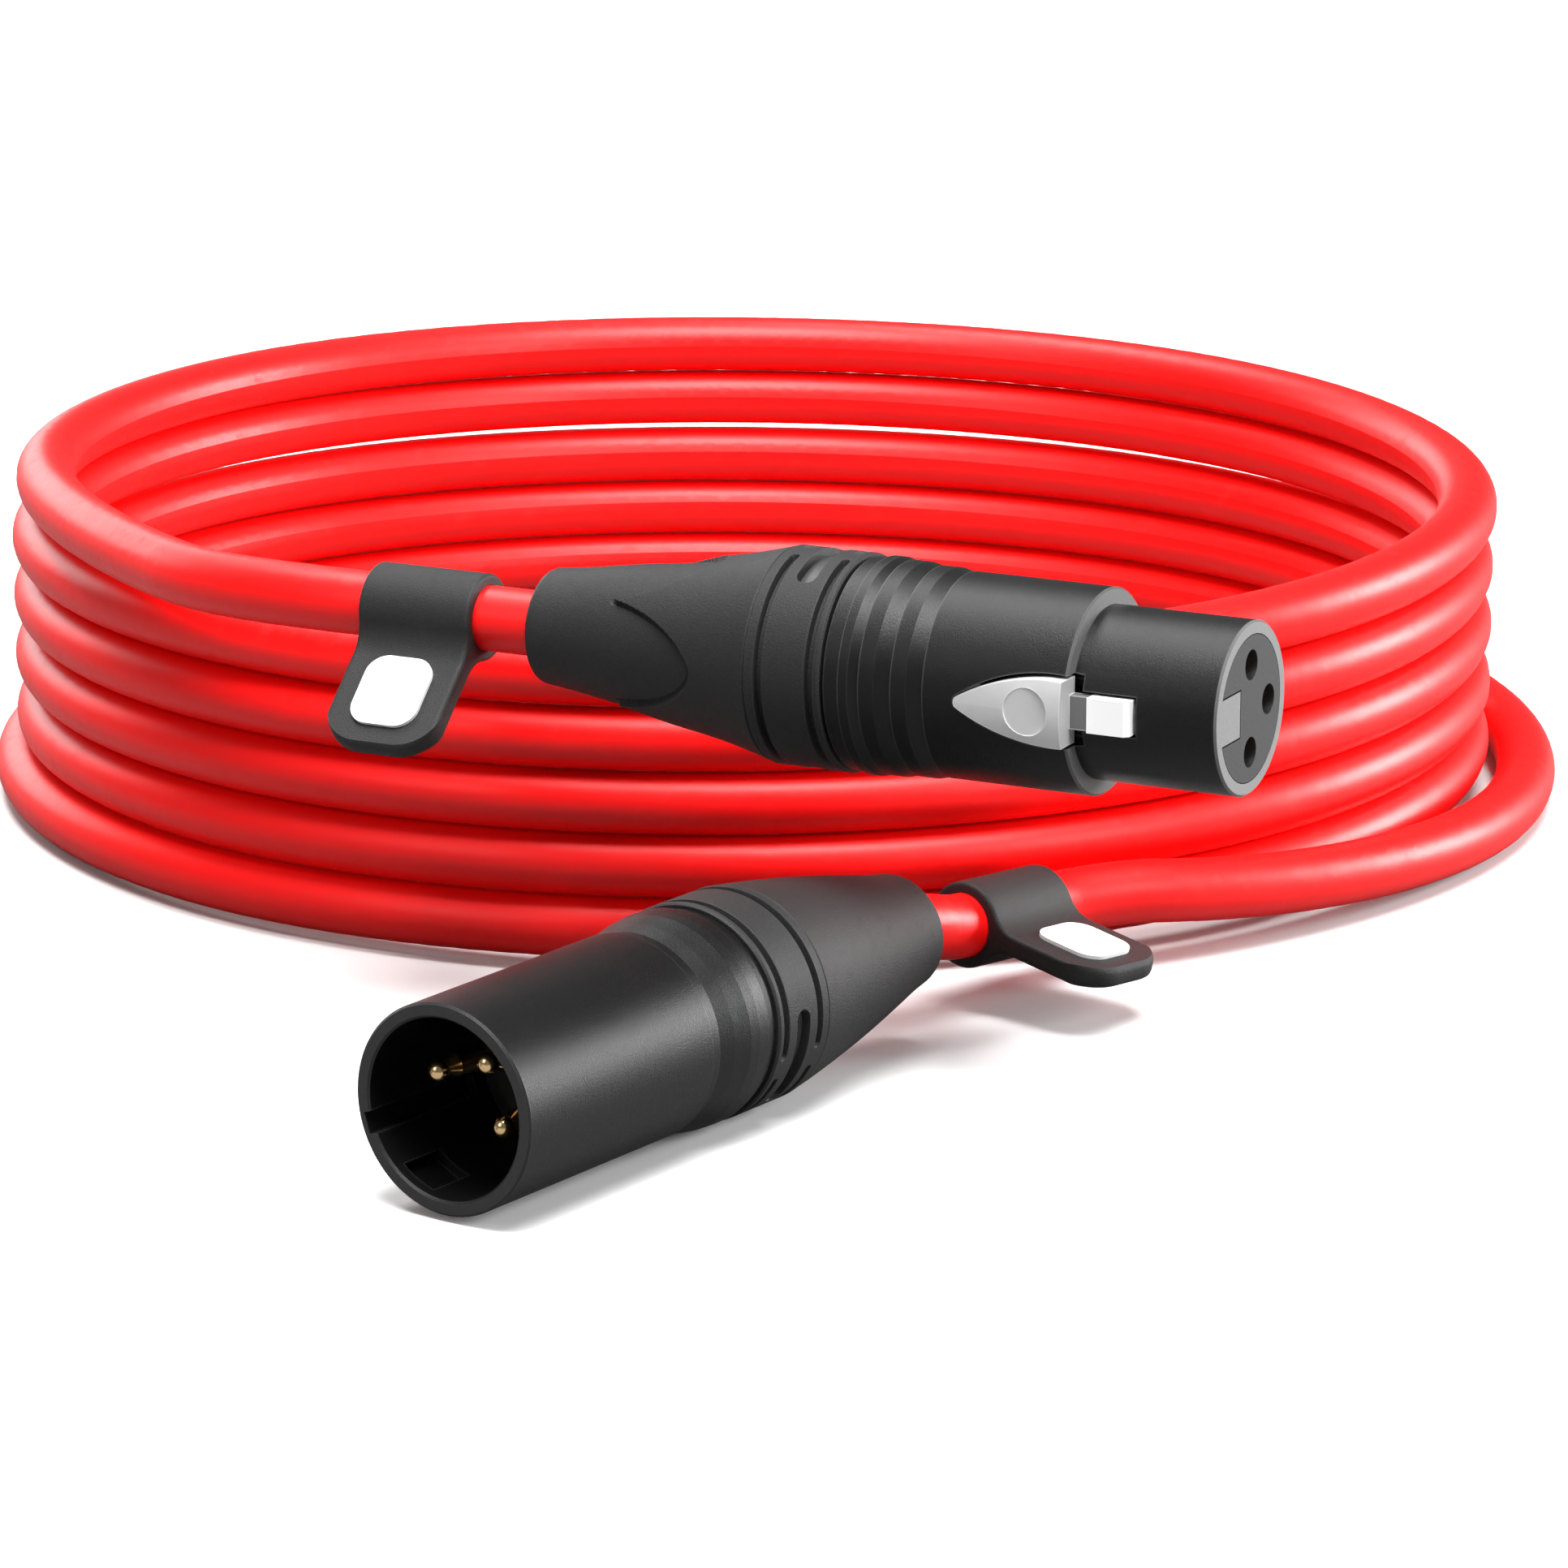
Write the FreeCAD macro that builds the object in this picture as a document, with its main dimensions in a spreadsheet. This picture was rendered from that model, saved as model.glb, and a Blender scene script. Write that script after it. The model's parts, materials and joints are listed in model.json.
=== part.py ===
import FreeCAD
import Part
import Sketcher
import math
import os
import re

# A three-pin microphone cable, wound into a flat coil and left lying on a level surface.
# One end has a female cable connector with a push latch, the other a male cable connector.
#
# Frame: the origin is on the ground under the centre of the coil, +Z is up.
# Each connector is drawn along its own Z axis: z = 0 is its mating end, z grows towards the cable,
# local X points to the side of the latch (female) or of the latch catch (male).

# Driving dimensions in millimetres and degrees.
SIZES = {
    # cable
    "jacket_radius": 3.1,
    "jacket_bore": 2.4,
    "shield_outer": 2.25,
    "shield_bore": 1.95,
    "core_radius": 0.75,
    "core_spacing": 1.75,
    # coil
    "coil_radius": 75.35,
    "coil_offset": -0.65,
    "coil_pitch": 6.29,
    "coil_top": 34.25,
    "coil_turns": 5.5,
    "back_sag": 0.55,
    "low_back_sag": 1.05,
    "outer_turn_spread": 6.9,
    # places of the two connectors
    "female_x": 43.6,
    "female_y": -121.6,
    "female_height": 37.9,
    "female_heading": 153.17,
    "male_x": -27.2,
    "male_y": -151.5,
    "male_height": 10.07,
    "male_heading": 54.15,
    "male_roll": 62.0,
    # female shell
    "nose_radius": 7.95,
    "nose_bore": 6.75,
    "nose_length": 13.9,
    "barrel_radius": 9.46,
    "ring_start": 27.9,
    "ring_pitch": 3.1,
    "ring_last": 1.95,
    "ring_tooth": 0.22,
    "ring_growth": 0.2,
    "female_end": 37.75,
    "edge_bevel": 0.2,
    "key_width": 4.2,
    "key_reach": 2.4,
    "key_depth": 6.0,
    # male shell
    "rim_radius": 9.5,
    "mouth_bore": 8.15,
    "barrel_length": 26.35,
    "waist_radius": 9.28,
    "flare_radius": 10.05,
    "male_end": 35.35,
    "keyway_width": 2.0,
    "keyway_depth": 0.65,
    "keyway_angle": 44.0,
    # shared bore and insert
    "body_bore": 8.35,
    "fit": 0.08,
    "flange_front": 15.4,
    "face_hole": 1.4,
    "contact_circle": 4.0,
    "contact_radius": 1.72,
    "contact_bore": 1.25,
    "pin_radius": 1.18,
    "ball_radius": 1.0,
    "pin_tip": 3.05,
    "boss_front": 14.2,
    "boss_radius": 5.45,
    "insert_back": 25.0,
    "ear_back": 27.2,
    "cup_radius": 1.5,
    "cup_bore": 1.1,
    "cup_back": 30.0,
    # latch
    "paddle_tip": 24.7,
    "paddle_width": 6.1,
    "paddle_front_radius": 10.6,
    "paddle_back_radius": 9.6,
    "paddle_floor": 7.2,
    "paddle_bow": 18.9,
    "slot_bow": 16.0,
    "paddle_shoulder": 0.46,
    "paddle_crest": 0.15,
    "paddle_nose": 0.78,
    "latch_gap": 0.15,
    "neck_width": 3.1,
    "neck_top": 8.4,
    "hook_front": 8.0,
    "hook_length": 4.0,
    "hook_top": 8.9,
    "dimple_radius": 2.2,
    "dimple_place": 17.4,
    "pivot_depth": 7.2,
    "pivot_place": 25.5,
    "pivot_radius": 0.5,
    # chuck, nut and boot, measured from the shell's back edge
    "chuck_front": -10.2,
    "chuck_neck": -5.4,
    "chuck_taper": 2.3,
    "chuck_back": 8.8,
    "chuck_bore": 5.6,
    "chuck_body": 6.7,
    "rib_width": 2.0,
    "rib_height": 0.45,
    "nut_front": -4.7,
    "nut_body": 8.9,
    "nut_shoulder": 7.4,
    "nut_tube": 7.1,
    "nut_back": 14.0,
    "ring_front": 2.55,
    "ring_back": 5.05,
    "ring_radius": 9.3,
    "seam_gap": 0.14,
    "collar_radius": 10.12,
    "collar_length": 7.8,
    "boot_length": 33.1,
    "boot_end_radius": 5.55,
    "boot_flare": 0.8,
    "boot_flare_depth": 7.0,
    "boot_knee": 13.3,
    "boot_middle": 19.3,
    "boot_tail": 25.3,
    "female_knee_radius": 8.75,
    "female_middle_radius": 7.4,
    "female_tail_radius": 6.55,
    "male_knee_radius": 9.15,
    "male_middle_radius": 8.1,
    "male_tail_radius": 6.95,
    "groove_width": 0.7,
    "groove_depth": 0.65,
    "groove_span": 168.0,
    "window_width": 1.8,
    "window_span": 58.0,
    "window_angle": 85.0,
    # tags
    "female_tag_gap": 6.5,
    "male_tag_gap": 9.6,
    "male_tag_heading": 49.0,
    "male_tag_dip": 3.5,
    "male_tag_drop": 1.0,
    "tag_clearance": 0.5,
    "tag_width": 11.8,
    "tag_reach": 16.0,
    "tag_band": 4.2,
    "tag_plate": 2.0,
    "tag_corner": 4.0,
    "female_tag_angle": -43.0,
    "male_tag_angle": 252.0,
    "panel_length": 7.6,
    "panel_width": 7.0,
    "panel_height": 0.35,
}

doc = FreeCAD.newDocument("CableCoil")
sheet = doc.addObject("Spreadsheet::Sheet", "Sizes")
for row, (alias, number) in enumerate(SIZES.items(), start=1):
    sheet.set("A%d" % row, alias)
    sheet.set("B%d" % row, str(number))
    sheet.setAlias("B%d" % row, alias)
doc.recompute()

finished = []


def mm(alias):
    """The value of one cell of the sheet."""
    return float(sheet.get(alias))


def cells(expression):
    """The expression with each alias in it pointing at the sheet."""
    return re.sub(r"[a-z_]+", lambda word: "Sizes." + word.group(0) if word.group(0) in SIZES
                  else word.group(0), expression)


def bind(thing, prop, expression):
    """Tie a property to the sheet."""
    thing.setExpression(prop, cells(expression))


def finish(thing, label, placement):
    """Name a finished sub-part and put it in its place."""
    thing.Label = label
    thing.Placement = placement
    finished.append(thing)
    return thing


# ---------------------------------------------------------------- sketches and features


def new_body(name):
    return doc.addObject("PartDesign::Body", name)


def origin_feature(body, role):
    return [item for item in body.Origin.OriginFeatures if item.Role == role][0]


def new_sketch(body, name, plane, offset="0", turn=0.0):
    """A sketch on an origin plane, moved along the plane's normal and turned about the sketch's Y."""
    sketch = body.newObject("Sketcher::SketchObject", name)
    sketch.AttachmentSupport = [(origin_feature(body, plane), "")]
    sketch.MapMode = "FlatFace"
    sketch.AttachmentOffset = FreeCAD.Placement(
        FreeCAD.Vector(0, 0, 0), FreeCAD.Rotation(FreeCAD.Vector(0, 1, 0), turn))
    if offset != "0":
        bind(sketch, "AttachmentOffset.Base.z", offset)
    return sketch


def polygon(sketch, corners):
    """A closed outline of straight sides, every corner placed by two bound distances."""
    count = len(corners)
    for index in range(count):
        start = FreeCAD.Vector(5 + index, index * index, 0)
        end = FreeCAD.Vector(5 + (index + 1) % count, ((index + 1) % count) ** 2, 0)
        sketch.addGeometry(Part.LineSegment(start, end), False)
    for index in range(count):
        sketch.addConstraint(Sketcher.Constraint("Coincident", index, 2, (index + 1) % count, 1))
    for index, corner in enumerate(corners):
        for direction, axis, expression in (("DistanceX", -2, corner[0]), ("DistanceY", -1, corner[1])):
            if expression == "0":
                sketch.addConstraint(Sketcher.Constraint("PointOnObject", index, 1, axis))
            else:
                place = sketch.addConstraint(Sketcher.Constraint(direction, -1, 1, index, 1, 1.0))
                bind(sketch, "Constraints[%d]" % place, expression)
    return sketch


def circles(sketch, rounds):
    """Circles given as (x, y, radius) expressions."""
    for index, (across, along, radius) in enumerate(rounds):
        sketch.addGeometry(Part.Circle(FreeCAD.Vector(1, 1, 0), FreeCAD.Vector(0, 0, 1), 1.0), False)
        for direction, axis, expression in (("DistanceX", -2, across), ("DistanceY", -1, along)):
            if expression == "0":
                sketch.addConstraint(Sketcher.Constraint("PointOnObject", index, 3, axis))
            else:
                place = sketch.addConstraint(Sketcher.Constraint(direction, -1, 1, index, 3, 1.0))
                bind(sketch, "Constraints[%d]" % place, expression)
        size = sketch.addConstraint(Sketcher.Constraint("Radius", index, 1.0))
        bind(sketch, "Constraints[%d]" % size, radius)
    return sketch


def block(across_low, across_high, along_low, along_high):
    """The four corners of a rectangle."""
    return [(across_low, along_low), (across_high, along_low),
            (across_high, along_high), (across_low, along_high)]


def revolve(body, name, corners):
    """A ring or turned piece about Z from an outline of (radius, z) corners."""
    sketch = polygon(new_sketch(body, name + "Sketch", "XZ_Plane"), corners)
    turned = body.newObject("PartDesign::Revolution", name)
    turned.Profile = sketch
    turned.ReferenceAxis = (sketch, ["V_Axis"])
    turned.Angle = 360
    doc.recompute()
    return turned


def pad(body, name, sketch, length):
    raised = body.newObject("PartDesign::Pad", name)
    raised.Profile = sketch
    bind(raised, "Length", length)
    doc.recompute()
    return raised


def pocket(body, name, sketch, depth):
    """A cut that runs from the sketch along its plane's normal."""
    before = body.Shape.Volume
    cut = body.newObject("PartDesign::Pocket", name)
    cut.Profile = sketch
    cut.Reversed = True
    bind(cut, "Length", depth)
    doc.recompute()
    if body.Shape.Volume > before - 1e-3:
        raise RuntimeError(name + " cuts nothing")
    return cut


def groove(body, name, corners, start, span):
    """A cut turned about Z from the angle start through the angle span."""
    before = body.Shape.Volume
    sketch = polygon(new_sketch(body, name + "Sketch", "XZ_Plane", turn=start), corners)
    cut = body.newObject("PartDesign::Groove", name)
    cut.Profile = sketch
    cut.ReferenceAxis = (sketch, ["V_Axis"])
    cut.Angle = span
    doc.recompute()
    if body.Shape.Volume > before - 1e-3:
        raise RuntimeError(name + " cuts nothing")
    return cut


def pattern(body, name, feature, count, angle=360.0):
    """Copies of one feature, spread evenly about Z."""
    repeated = body.newObject("PartDesign::PolarPattern", name)
    repeated.Originals = [feature]
    repeated.Axis = (origin_feature(body, "Z_Axis"), [""])
    repeated.Angle = angle
    repeated.Occurrences = count
    body.Tip = repeated
    doc.recompute()
    return repeated


def cylinder(name, radius, height, base=("0", "0", "0")):
    """A plain cylinder along Z, its base centre placed by expressions."""
    solid = doc.addObject("Part::Cylinder", name)
    bind(solid, "Radius", radius)
    bind(solid, "Height", height)
    for letter, expression in zip("xyz", base):
        bind(solid, "Placement.Base." + letter, expression)
    return solid


def joined(name, shapes):
    union = doc.addObject("Part::MultiFuse", name)
    union.Shapes = shapes
    return union


def cut_from(name, base, tool):
    difference = doc.addObject("Part::Cut", name)
    difference.Base = base
    difference.Tool = tool
    return difference


# ---------------------------------------------------------------- places


def heading_frame(place, heading, roll=0.0, dip=0.0):
    """A placement whose Z runs along the heading, dipping a little, and whose Y points up before the roll."""
    along, down = math.radians(heading), math.radians(dip)
    z_axis = FreeCAD.Vector(math.cos(along) * math.cos(down), math.sin(along) * math.cos(down),
                            -math.sin(down))
    x_axis = FreeCAD.Vector(-math.sin(along), math.cos(along), 0)
    y_axis = z_axis.cross(x_axis)
    turn = FreeCAD.Rotation(x_axis, y_axis, z_axis, "ZYX")
    spin = FreeCAD.Rotation(FreeCAD.Vector(0, 0, 1), roll)
    return FreeCAD.Placement(place, turn.multiply(spin))


FEMALE = heading_frame(FreeCAD.Vector(mm("female_x"), mm("female_y"), mm("female_height")),
                       mm("female_heading"))
MALE = heading_frame(FreeCAD.Vector(mm("male_x"), mm("male_y"), mm("male_height")),
                     mm("male_heading"), -mm("male_roll"))


def on_axis(frame, z):
    """A point on a connector's axis."""
    return frame.multVec(FreeCAD.Vector(0, 0, z))


def beside(frame, radius, angle, z):
    """A point of a connector, given by its distance from the axis, its angle and its z."""
    turn = math.radians(angle)
    return frame.multVec(FreeCAD.Vector(radius * math.cos(turn), radius * math.sin(turn), z))


def tag_starts():
    """The frames on the cable where the two tags start. The cable bends a little before the male tag."""
    female_near = mm("female_end") + mm("boot_length") + mm("female_tag_gap")
    female = FEMALE.multiply(FreeCAD.Placement(FreeCAD.Vector(0, 0, female_near), FreeCAD.Rotation()))
    boot_back = on_axis(MALE, mm("male_end") + mm("boot_length"))
    male = heading_frame(boot_back, mm("male_tag_heading"), -mm("male_roll"), mm("male_tag_dip"))
    male.Base = on_axis(male, mm("male_tag_gap")) - FreeCAD.Vector(0, 0, mm("male_tag_drop"))
    return female, male


FEMALE_TAG, MALE_TAG = tag_starts()


# ---------------------------------------------------------------- shells


def shell_keyways(body, end):
    """The two grooves in the back of the bore that keep the chuck from turning."""
    half = "rib_width / 2 + fit"
    for side, sign in (("Upper", ""), ("Lower", "-")):
        low, high = sign + "(body_bore - 1)", sign + "(body_bore + rib_height + fit)"
        sketch = new_sketch(body, side + "KeywaySketch", "XY_Plane", end + " + chuck_front - 0.1")
        polygon(sketch, block("-(" + half + ")", half, low, high))
        pocket(body, side + "Keyway", sketch, "-chuck_front + 0.2")


def female_shell():
    body = new_body("FemaleShellBody")
    outline = [
        ("nose_bore", "0"),
        ("nose_radius - edge_bevel", "0"),
        ("nose_radius", "edge_bevel"),
        ("nose_radius", "nose_length"),
        ("barrel_radius - edge_bevel", "nose_length"),
        ("barrel_radius", "nose_length + edge_bevel"),
        ("barrel_radius", "ring_start"),
    ]
    front = "ring_start"
    for index, length in enumerate(("ring_pitch", "ring_pitch", "ring_last")):
        crest = "barrel_radius + %d * ring_growth" % (index + 1)
        outline.append((crest + " - ring_growth - ring_tooth", front))
        outline.append((crest, front + " + 0.5 * " + length))
        front = front + " + " + length
        outline.append((crest, front))
    last = "barrel_radius + 3 * ring_growth"
    outline += [
        (last + " - ring_tooth", front),
        (last + " - ring_tooth", "female_end - edge_bevel"),
        (last + " - ring_tooth - edge_bevel", "female_end"),
        ("body_bore", "female_end"),
        ("body_bore", "flange_front"),
        ("nose_bore", "flange_front"),
    ]
    revolve(body, "FemaleTurning", outline)
    key = new_sketch(body, "KeyBlockSketch", "XY_Plane")
    polygon(key, block("key_reach", "nose_bore + 0.4", "-key_width / 2", "key_width / 2"))
    pad(body, "KeyBlock", key, "key_depth")
    hook_slot = new_sketch(body, "HookSlotSketch", "YZ_Plane", "nose_bore - 0.5")
    half = "(neck_width / 2 + 2 * latch_gap)"
    polygon(hook_slot, block("-" + half, half, "hook_front - 2 * latch_gap", "nose_length + 1"))
    pocket(body, "HookSlot", hook_slot, "4")
    paddle_slot = new_sketch(body, "PaddleSlotSketch", "YZ_Plane", "nose_bore - 0.5")
    bullet(paddle_slot, "nose_length - 1", "latch_gap", "slot_bow")
    pocket(body, "PaddleSlot", paddle_slot, "6")
    shell_keyways(body, "female_end")
    return finish(body, "female_shell", FEMALE)


def male_shell():
    body = new_body("MaleShellBody")
    revolve(body, "MaleTurning", [
        ("mouth_bore + edge_bevel", "0"),
        ("rim_radius - edge_bevel", "0"),
        ("rim_radius", "edge_bevel"),
        ("rim_radius", "barrel_length"),
        ("waist_radius", "barrel_length + 0.15"),
        ("waist_radius", "barrel_length + 1.3"),
        ("waist_radius + 0.35", "barrel_length + 3.0"),
        ("flare_radius - 0.08", "barrel_length + 5.0"),
        ("flare_radius", "barrel_length + 6.2"),
        ("flare_radius", "barrel_length + 7.6"),
        ("flare_radius - 0.4", "male_end"),
        ("body_bore", "male_end"),
        ("body_bore", "flange_front + 1"),
        ("mouth_bore", "flange_front + 1"),
        ("mouth_bore", "edge_bevel"),
    ])
    catch = new_sketch(body, "CatchSketch", "YZ_Plane", "mouth_bore - 1")
    half = "(neck_width / 2 + 2 * latch_gap)"
    polygon(catch, block("-" + half, half, "1.3", "6.3"))
    pocket(body, "Catch", catch, "1.9")
    keyway = new_sketch(body, "MouthKeywaySketch", "XY_Plane")
    along = "cos(keyway_angle)", "sin(keyway_angle)"
    corners = []
    for reach, side in ((-1.0, -1), (-1.0, 1), (0.0, 1), (0.0, -1)):
        radial = "(mouth_bore %+.1f)" % reach if reach else "(mouth_bore + keyway_depth)"
        width = "(%d * keyway_width / 2)" % side
        corners.append((radial + " * " + along[0] + " - " + width + " * " + along[1],
                        radial + " * " + along[1] + " + " + width + " * " + along[0]))
    polygon(keyway, corners)
    pocket(body, "MouthKeyway", keyway, "boss_front")
    shell_keyways(body, "male_end")
    return finish(body, "male_shell", MALE)


# ---------------------------------------------------------------- inserts and contacts

CONTACT_ANGLES = (90, 180, 270)


def contact_places():
    """Centres of the three contacts as expressions."""
    return [("contact_circle * cos(%d)" % angle if angle == 180 else "0",
             "contact_circle * sin(%d)" % angle if angle != 180 else "0") for angle in CONTACT_ANGLES]


def clip_seat(body):
    """The flat recess for the earth clip, opposite the latch."""
    seat = new_sketch(body, "ClipSeatSketch", "XY_Plane", "flange_front + 1.3")
    polygon(seat, block("-(body_bore + 1)", "-(body_bore - 0.8)", "-1.65", "1.65"))
    pocket(body, "ClipSeat", seat, "7.5")


def female_insert():
    body = new_body("FemaleInsertBody")
    revolve(body, "FemaleInsertTurning", [
        ("0", "0"),
        ("nose_bore - fit", "0"),
        ("nose_bore - fit", "flange_front + fit"),
        ("body_bore - fit", "flange_front + fit"),
        ("body_bore - fit", "ear_back"),
        ("0", "ear_back"),
    ])
    holes = [(x, y, "face_hole") for x, y in contact_places()]
    pocket(body, "FaceHoles", circles(new_sketch(body, "FaceHolesSketch", "XY_Plane"), holes), "ear_back")
    wells = [(x, y, "contact_radius + fit") for x, y in contact_places()]
    pocket(body, "Wells", circles(new_sketch(body, "WellsSketch", "XY_Plane", "1.2"), wells), "ear_back")
    key = new_sketch(body, "KeySeatSketch", "XY_Plane")
    half = "(key_width / 2 + latch_gap)"
    polygon(key, block("key_reach - latch_gap", "nose_bore + 1", "-" + half, half))
    pocket(body, "KeySeat", key, "key_depth + latch_gap")
    channel = new_sketch(body, "HookChannelSketch", "YZ_Plane", "nose_bore - 0.85")
    polygon(channel, block("-1.95", "1.95", "key_depth + 0.5", "24"))
    pocket(body, "HookChannel", channel, "4")
    wide = new_sketch(body, "PaddleChannelSketch", "YZ_Plane", "nose_bore - 0.55")
    polygon(wide, block("-3.5", "3.5", "nose_length - 0.6", "24"))
    pocket(body, "PaddleChannel", wide, "4")
    tail = new_sketch(body, "TailChannelSketch", "YZ_Plane", "nose_bore - 0.65")
    polygon(tail, block("-1.7", "1.7", "23.5", "ear_back + 1"))
    pocket(body, "TailChannel", tail, "4")
    bearing = circles(new_sketch(body, "PivotHoleSketch", "XZ_Plane", "-3.3"),
                      [("pivot_depth", "pivot_place", "pivot_radius + 0.03")])
    pocket(body, "PivotHole", bearing, "6.6")
    clip_seat(body)
    return finish(body, "female_insert", FEMALE)


def male_insert():
    body = new_body("MaleInsertBody")
    revolve(body, "MaleInsertTurning", [
        ("0", "boss_front"),
        ("boss_radius", "boss_front"),
        ("boss_radius", "boss_front + 1.6"),
        ("mouth_bore - fit", "boss_front + 1.6"),
        ("mouth_bore - fit", "flange_front + 1 + fit"),
        ("body_bore - fit", "flange_front + 1 + fit"),
        ("body_bore - fit", "insert_back"),
        ("0", "insert_back"),
    ])
    holes = [(x, y, "pin_radius + 0.06") for x, y in contact_places()]
    sketch = circles(new_sketch(body, "PinHolesSketch", "XY_Plane"), holes)
    pocket(body, "PinHoles", sketch, "insert_back + 1")
    clip_seat(body)
    return finish(body, "male_insert", MALE)


def earth_clip(label, frame):
    """A bent spring strip that joins the earth contact to the shell."""
    body = new_body(label.title().replace("_", "") + "Body")
    strip = new_sketch(body, "StripSketch", "XZ_Plane", "-1.4")
    polygon(strip, [
        ("-(body_bore - 0.15)", "flange_front + 2.2"),
        ("-(body_bore - 0.42)", "flange_front + 1.8"),
        ("-(body_bore - 0.68)", "flange_front + 1.8"),
        ("-(body_bore - 0.42)", "flange_front + 5.0"),
        ("-(body_bore - 0.68)", "flange_front + 8.3"),
        ("-(body_bore - 0.42)", "flange_front + 8.3"),
        ("-(body_bore - 0.15)", "flange_front + 5.4"),
    ])
    pad(body, "Strip", strip, "2.8")
    return finish(body, label, frame)


def solder_cup(name, x, y):
    """The cup that takes a conductor at the back of a contact."""
    cup = cylinder(name + "Cup", "cup_radius", "cup_back - insert_back + 0.5", (x, y, "insert_back - 0.5"))
    hollow = cylinder(name + "CupBore", "cup_bore", "4.5", (x, y, "cup_back - 4"))
    return cut_from(name + "SolderCup", cup, hollow)


def female_contacts():
    """Three sockets, each a split-free tube with a solder cup behind."""
    sockets = []
    for index, (x, y) in enumerate(contact_places(), start=1):
        name = "Socket%d" % index
        tube = cylinder(name + "Tube", "contact_radius", "insert_back - 1.3", (x, y, "1.3"))
        bore = cylinder(name + "Bore", "contact_bore", "13.7", (x, y, "1.2"))
        hollow = cut_from(name + "Hollow", tube, bore)
        sockets.append(joined(name, [hollow, solder_cup(name, x, y)]))
    group = doc.addObject("Part::Compound", "FemaleContacts")
    group.Links = sockets
    doc.recompute()
    return finish(group, "female_contacts", FEMALE)


def male_pins():
    """Three turned pins with ball tips and solder cups."""
    pins = []
    for index, (x, y) in enumerate(contact_places(), start=1):
        name = "Pin%d" % index
        ball = doc.addObject("Part::Sphere", name + "Ball")
        bind(ball, "Radius", "ball_radius")
        neck = doc.addObject("Part::Cone", name + "Neck")
        bind(neck, "Radius1", "0.62 * ball_radius")
        bind(neck, "Radius2", "pin_radius")
        bind(neck, "Height", "ball_radius")
        for letter, expression in (("x", x), ("y", y)):
            bind(ball, "Placement.Base." + letter, expression)
            bind(neck, "Placement.Base." + letter, expression)
        bind(ball, "Placement.Base.z", "pin_tip + ball_radius")
        bind(neck, "Placement.Base.z", "pin_tip + 1.78 * ball_radius")
        shaft = cylinder(name + "Shaft", "pin_radius", "insert_back - pin_tip - 2.78 * ball_radius",
                         (x, y, "pin_tip + 2.78 * ball_radius"))
        stem = cylinder(name + "Stem", "pin_radius", "1", (x, y, "insert_back - 0.2"))
        cup = cylinder(name + "Cup", "cup_radius", "cup_back - insert_back - 0.1",
                       (x, y, "insert_back + 0.1"))
        hollow = cylinder(name + "CupBore", "cup_bore", "4.5", (x, y, "cup_back - 4"))
        hollow_cup = cut_from(name + "SolderCup", cup, hollow)
        pins.append(joined(name, [ball, neck, shaft, stem, hollow_cup]))
    group = doc.addObject("Part::Compound", "MalePins")
    group.Links = pins
    doc.recompute()
    return finish(group, "male_pins", MALE)


# ---------------------------------------------------------------- latch


def bullet(sketch, front, gap, bow):
    """The paddle's outline, or its slot's: a straight front edge and two bowed sides up to a round tip."""
    half = "(paddle_width / 2 + %s)" % gap
    tip = "(paddle_tip + %s - paddle_crest)" % gap
    corners = [("-" + half, front), (half, front), ("paddle_shoulder", tip), ("-paddle_shoulder", tip)]
    rough = [FreeCAD.Vector(-3.1, 13.5, 0), FreeCAD.Vector(3.1, 13.5, 0),
             FreeCAD.Vector(0.46, 24.6, 0), FreeCAD.Vector(-0.46, 24.6, 0)]
    sketch.addGeometry(Part.LineSegment(rough[0], rough[1]), False)
    sketch.addGeometry(Part.Arc(rough[1], FreeCAD.Vector(2.5, 19.5, 0), rough[2]), False)
    sketch.addGeometry(Part.Arc(rough[2], FreeCAD.Vector(0, 24.75, 0), rough[3]), False)
    sketch.addGeometry(Part.Arc(rough[3], FreeCAD.Vector(-2.5, 19.5, 0), rough[0]), False)
    joins = []
    for index, corner in enumerate(rough):
        joins.append([(edge % 4, end) for edge in (index, index - 1) for end in (1, 2)
                      if (sketch.getPoint(edge % 4, end) - corner).Length < 1e-6])
    for (near, far), (across, along), start in zip(joins, corners, rough):
        sketch.addConstraint(Sketcher.Constraint("Coincident", near[0], near[1], far[0], far[1]))
        for direction, expression, now in (("DistanceX", across, start.x), ("DistanceY", along, start.y)):
            place = sketch.addConstraint(Sketcher.Constraint(direction, -1, 1, near[0], near[1], now))
            bind(sketch, "Constraints[%d]" % place, expression)
    for edge, radius in ((1, bow), (2, "paddle_nose"), (3, bow)):
        now = sketch.Geometry[edge].Radius
        place = sketch.addConstraint(Sketcher.Constraint("Radius", edge, now))
        bind(sketch, "Constraints[%d]" % place, radius)
    return sketch


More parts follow.
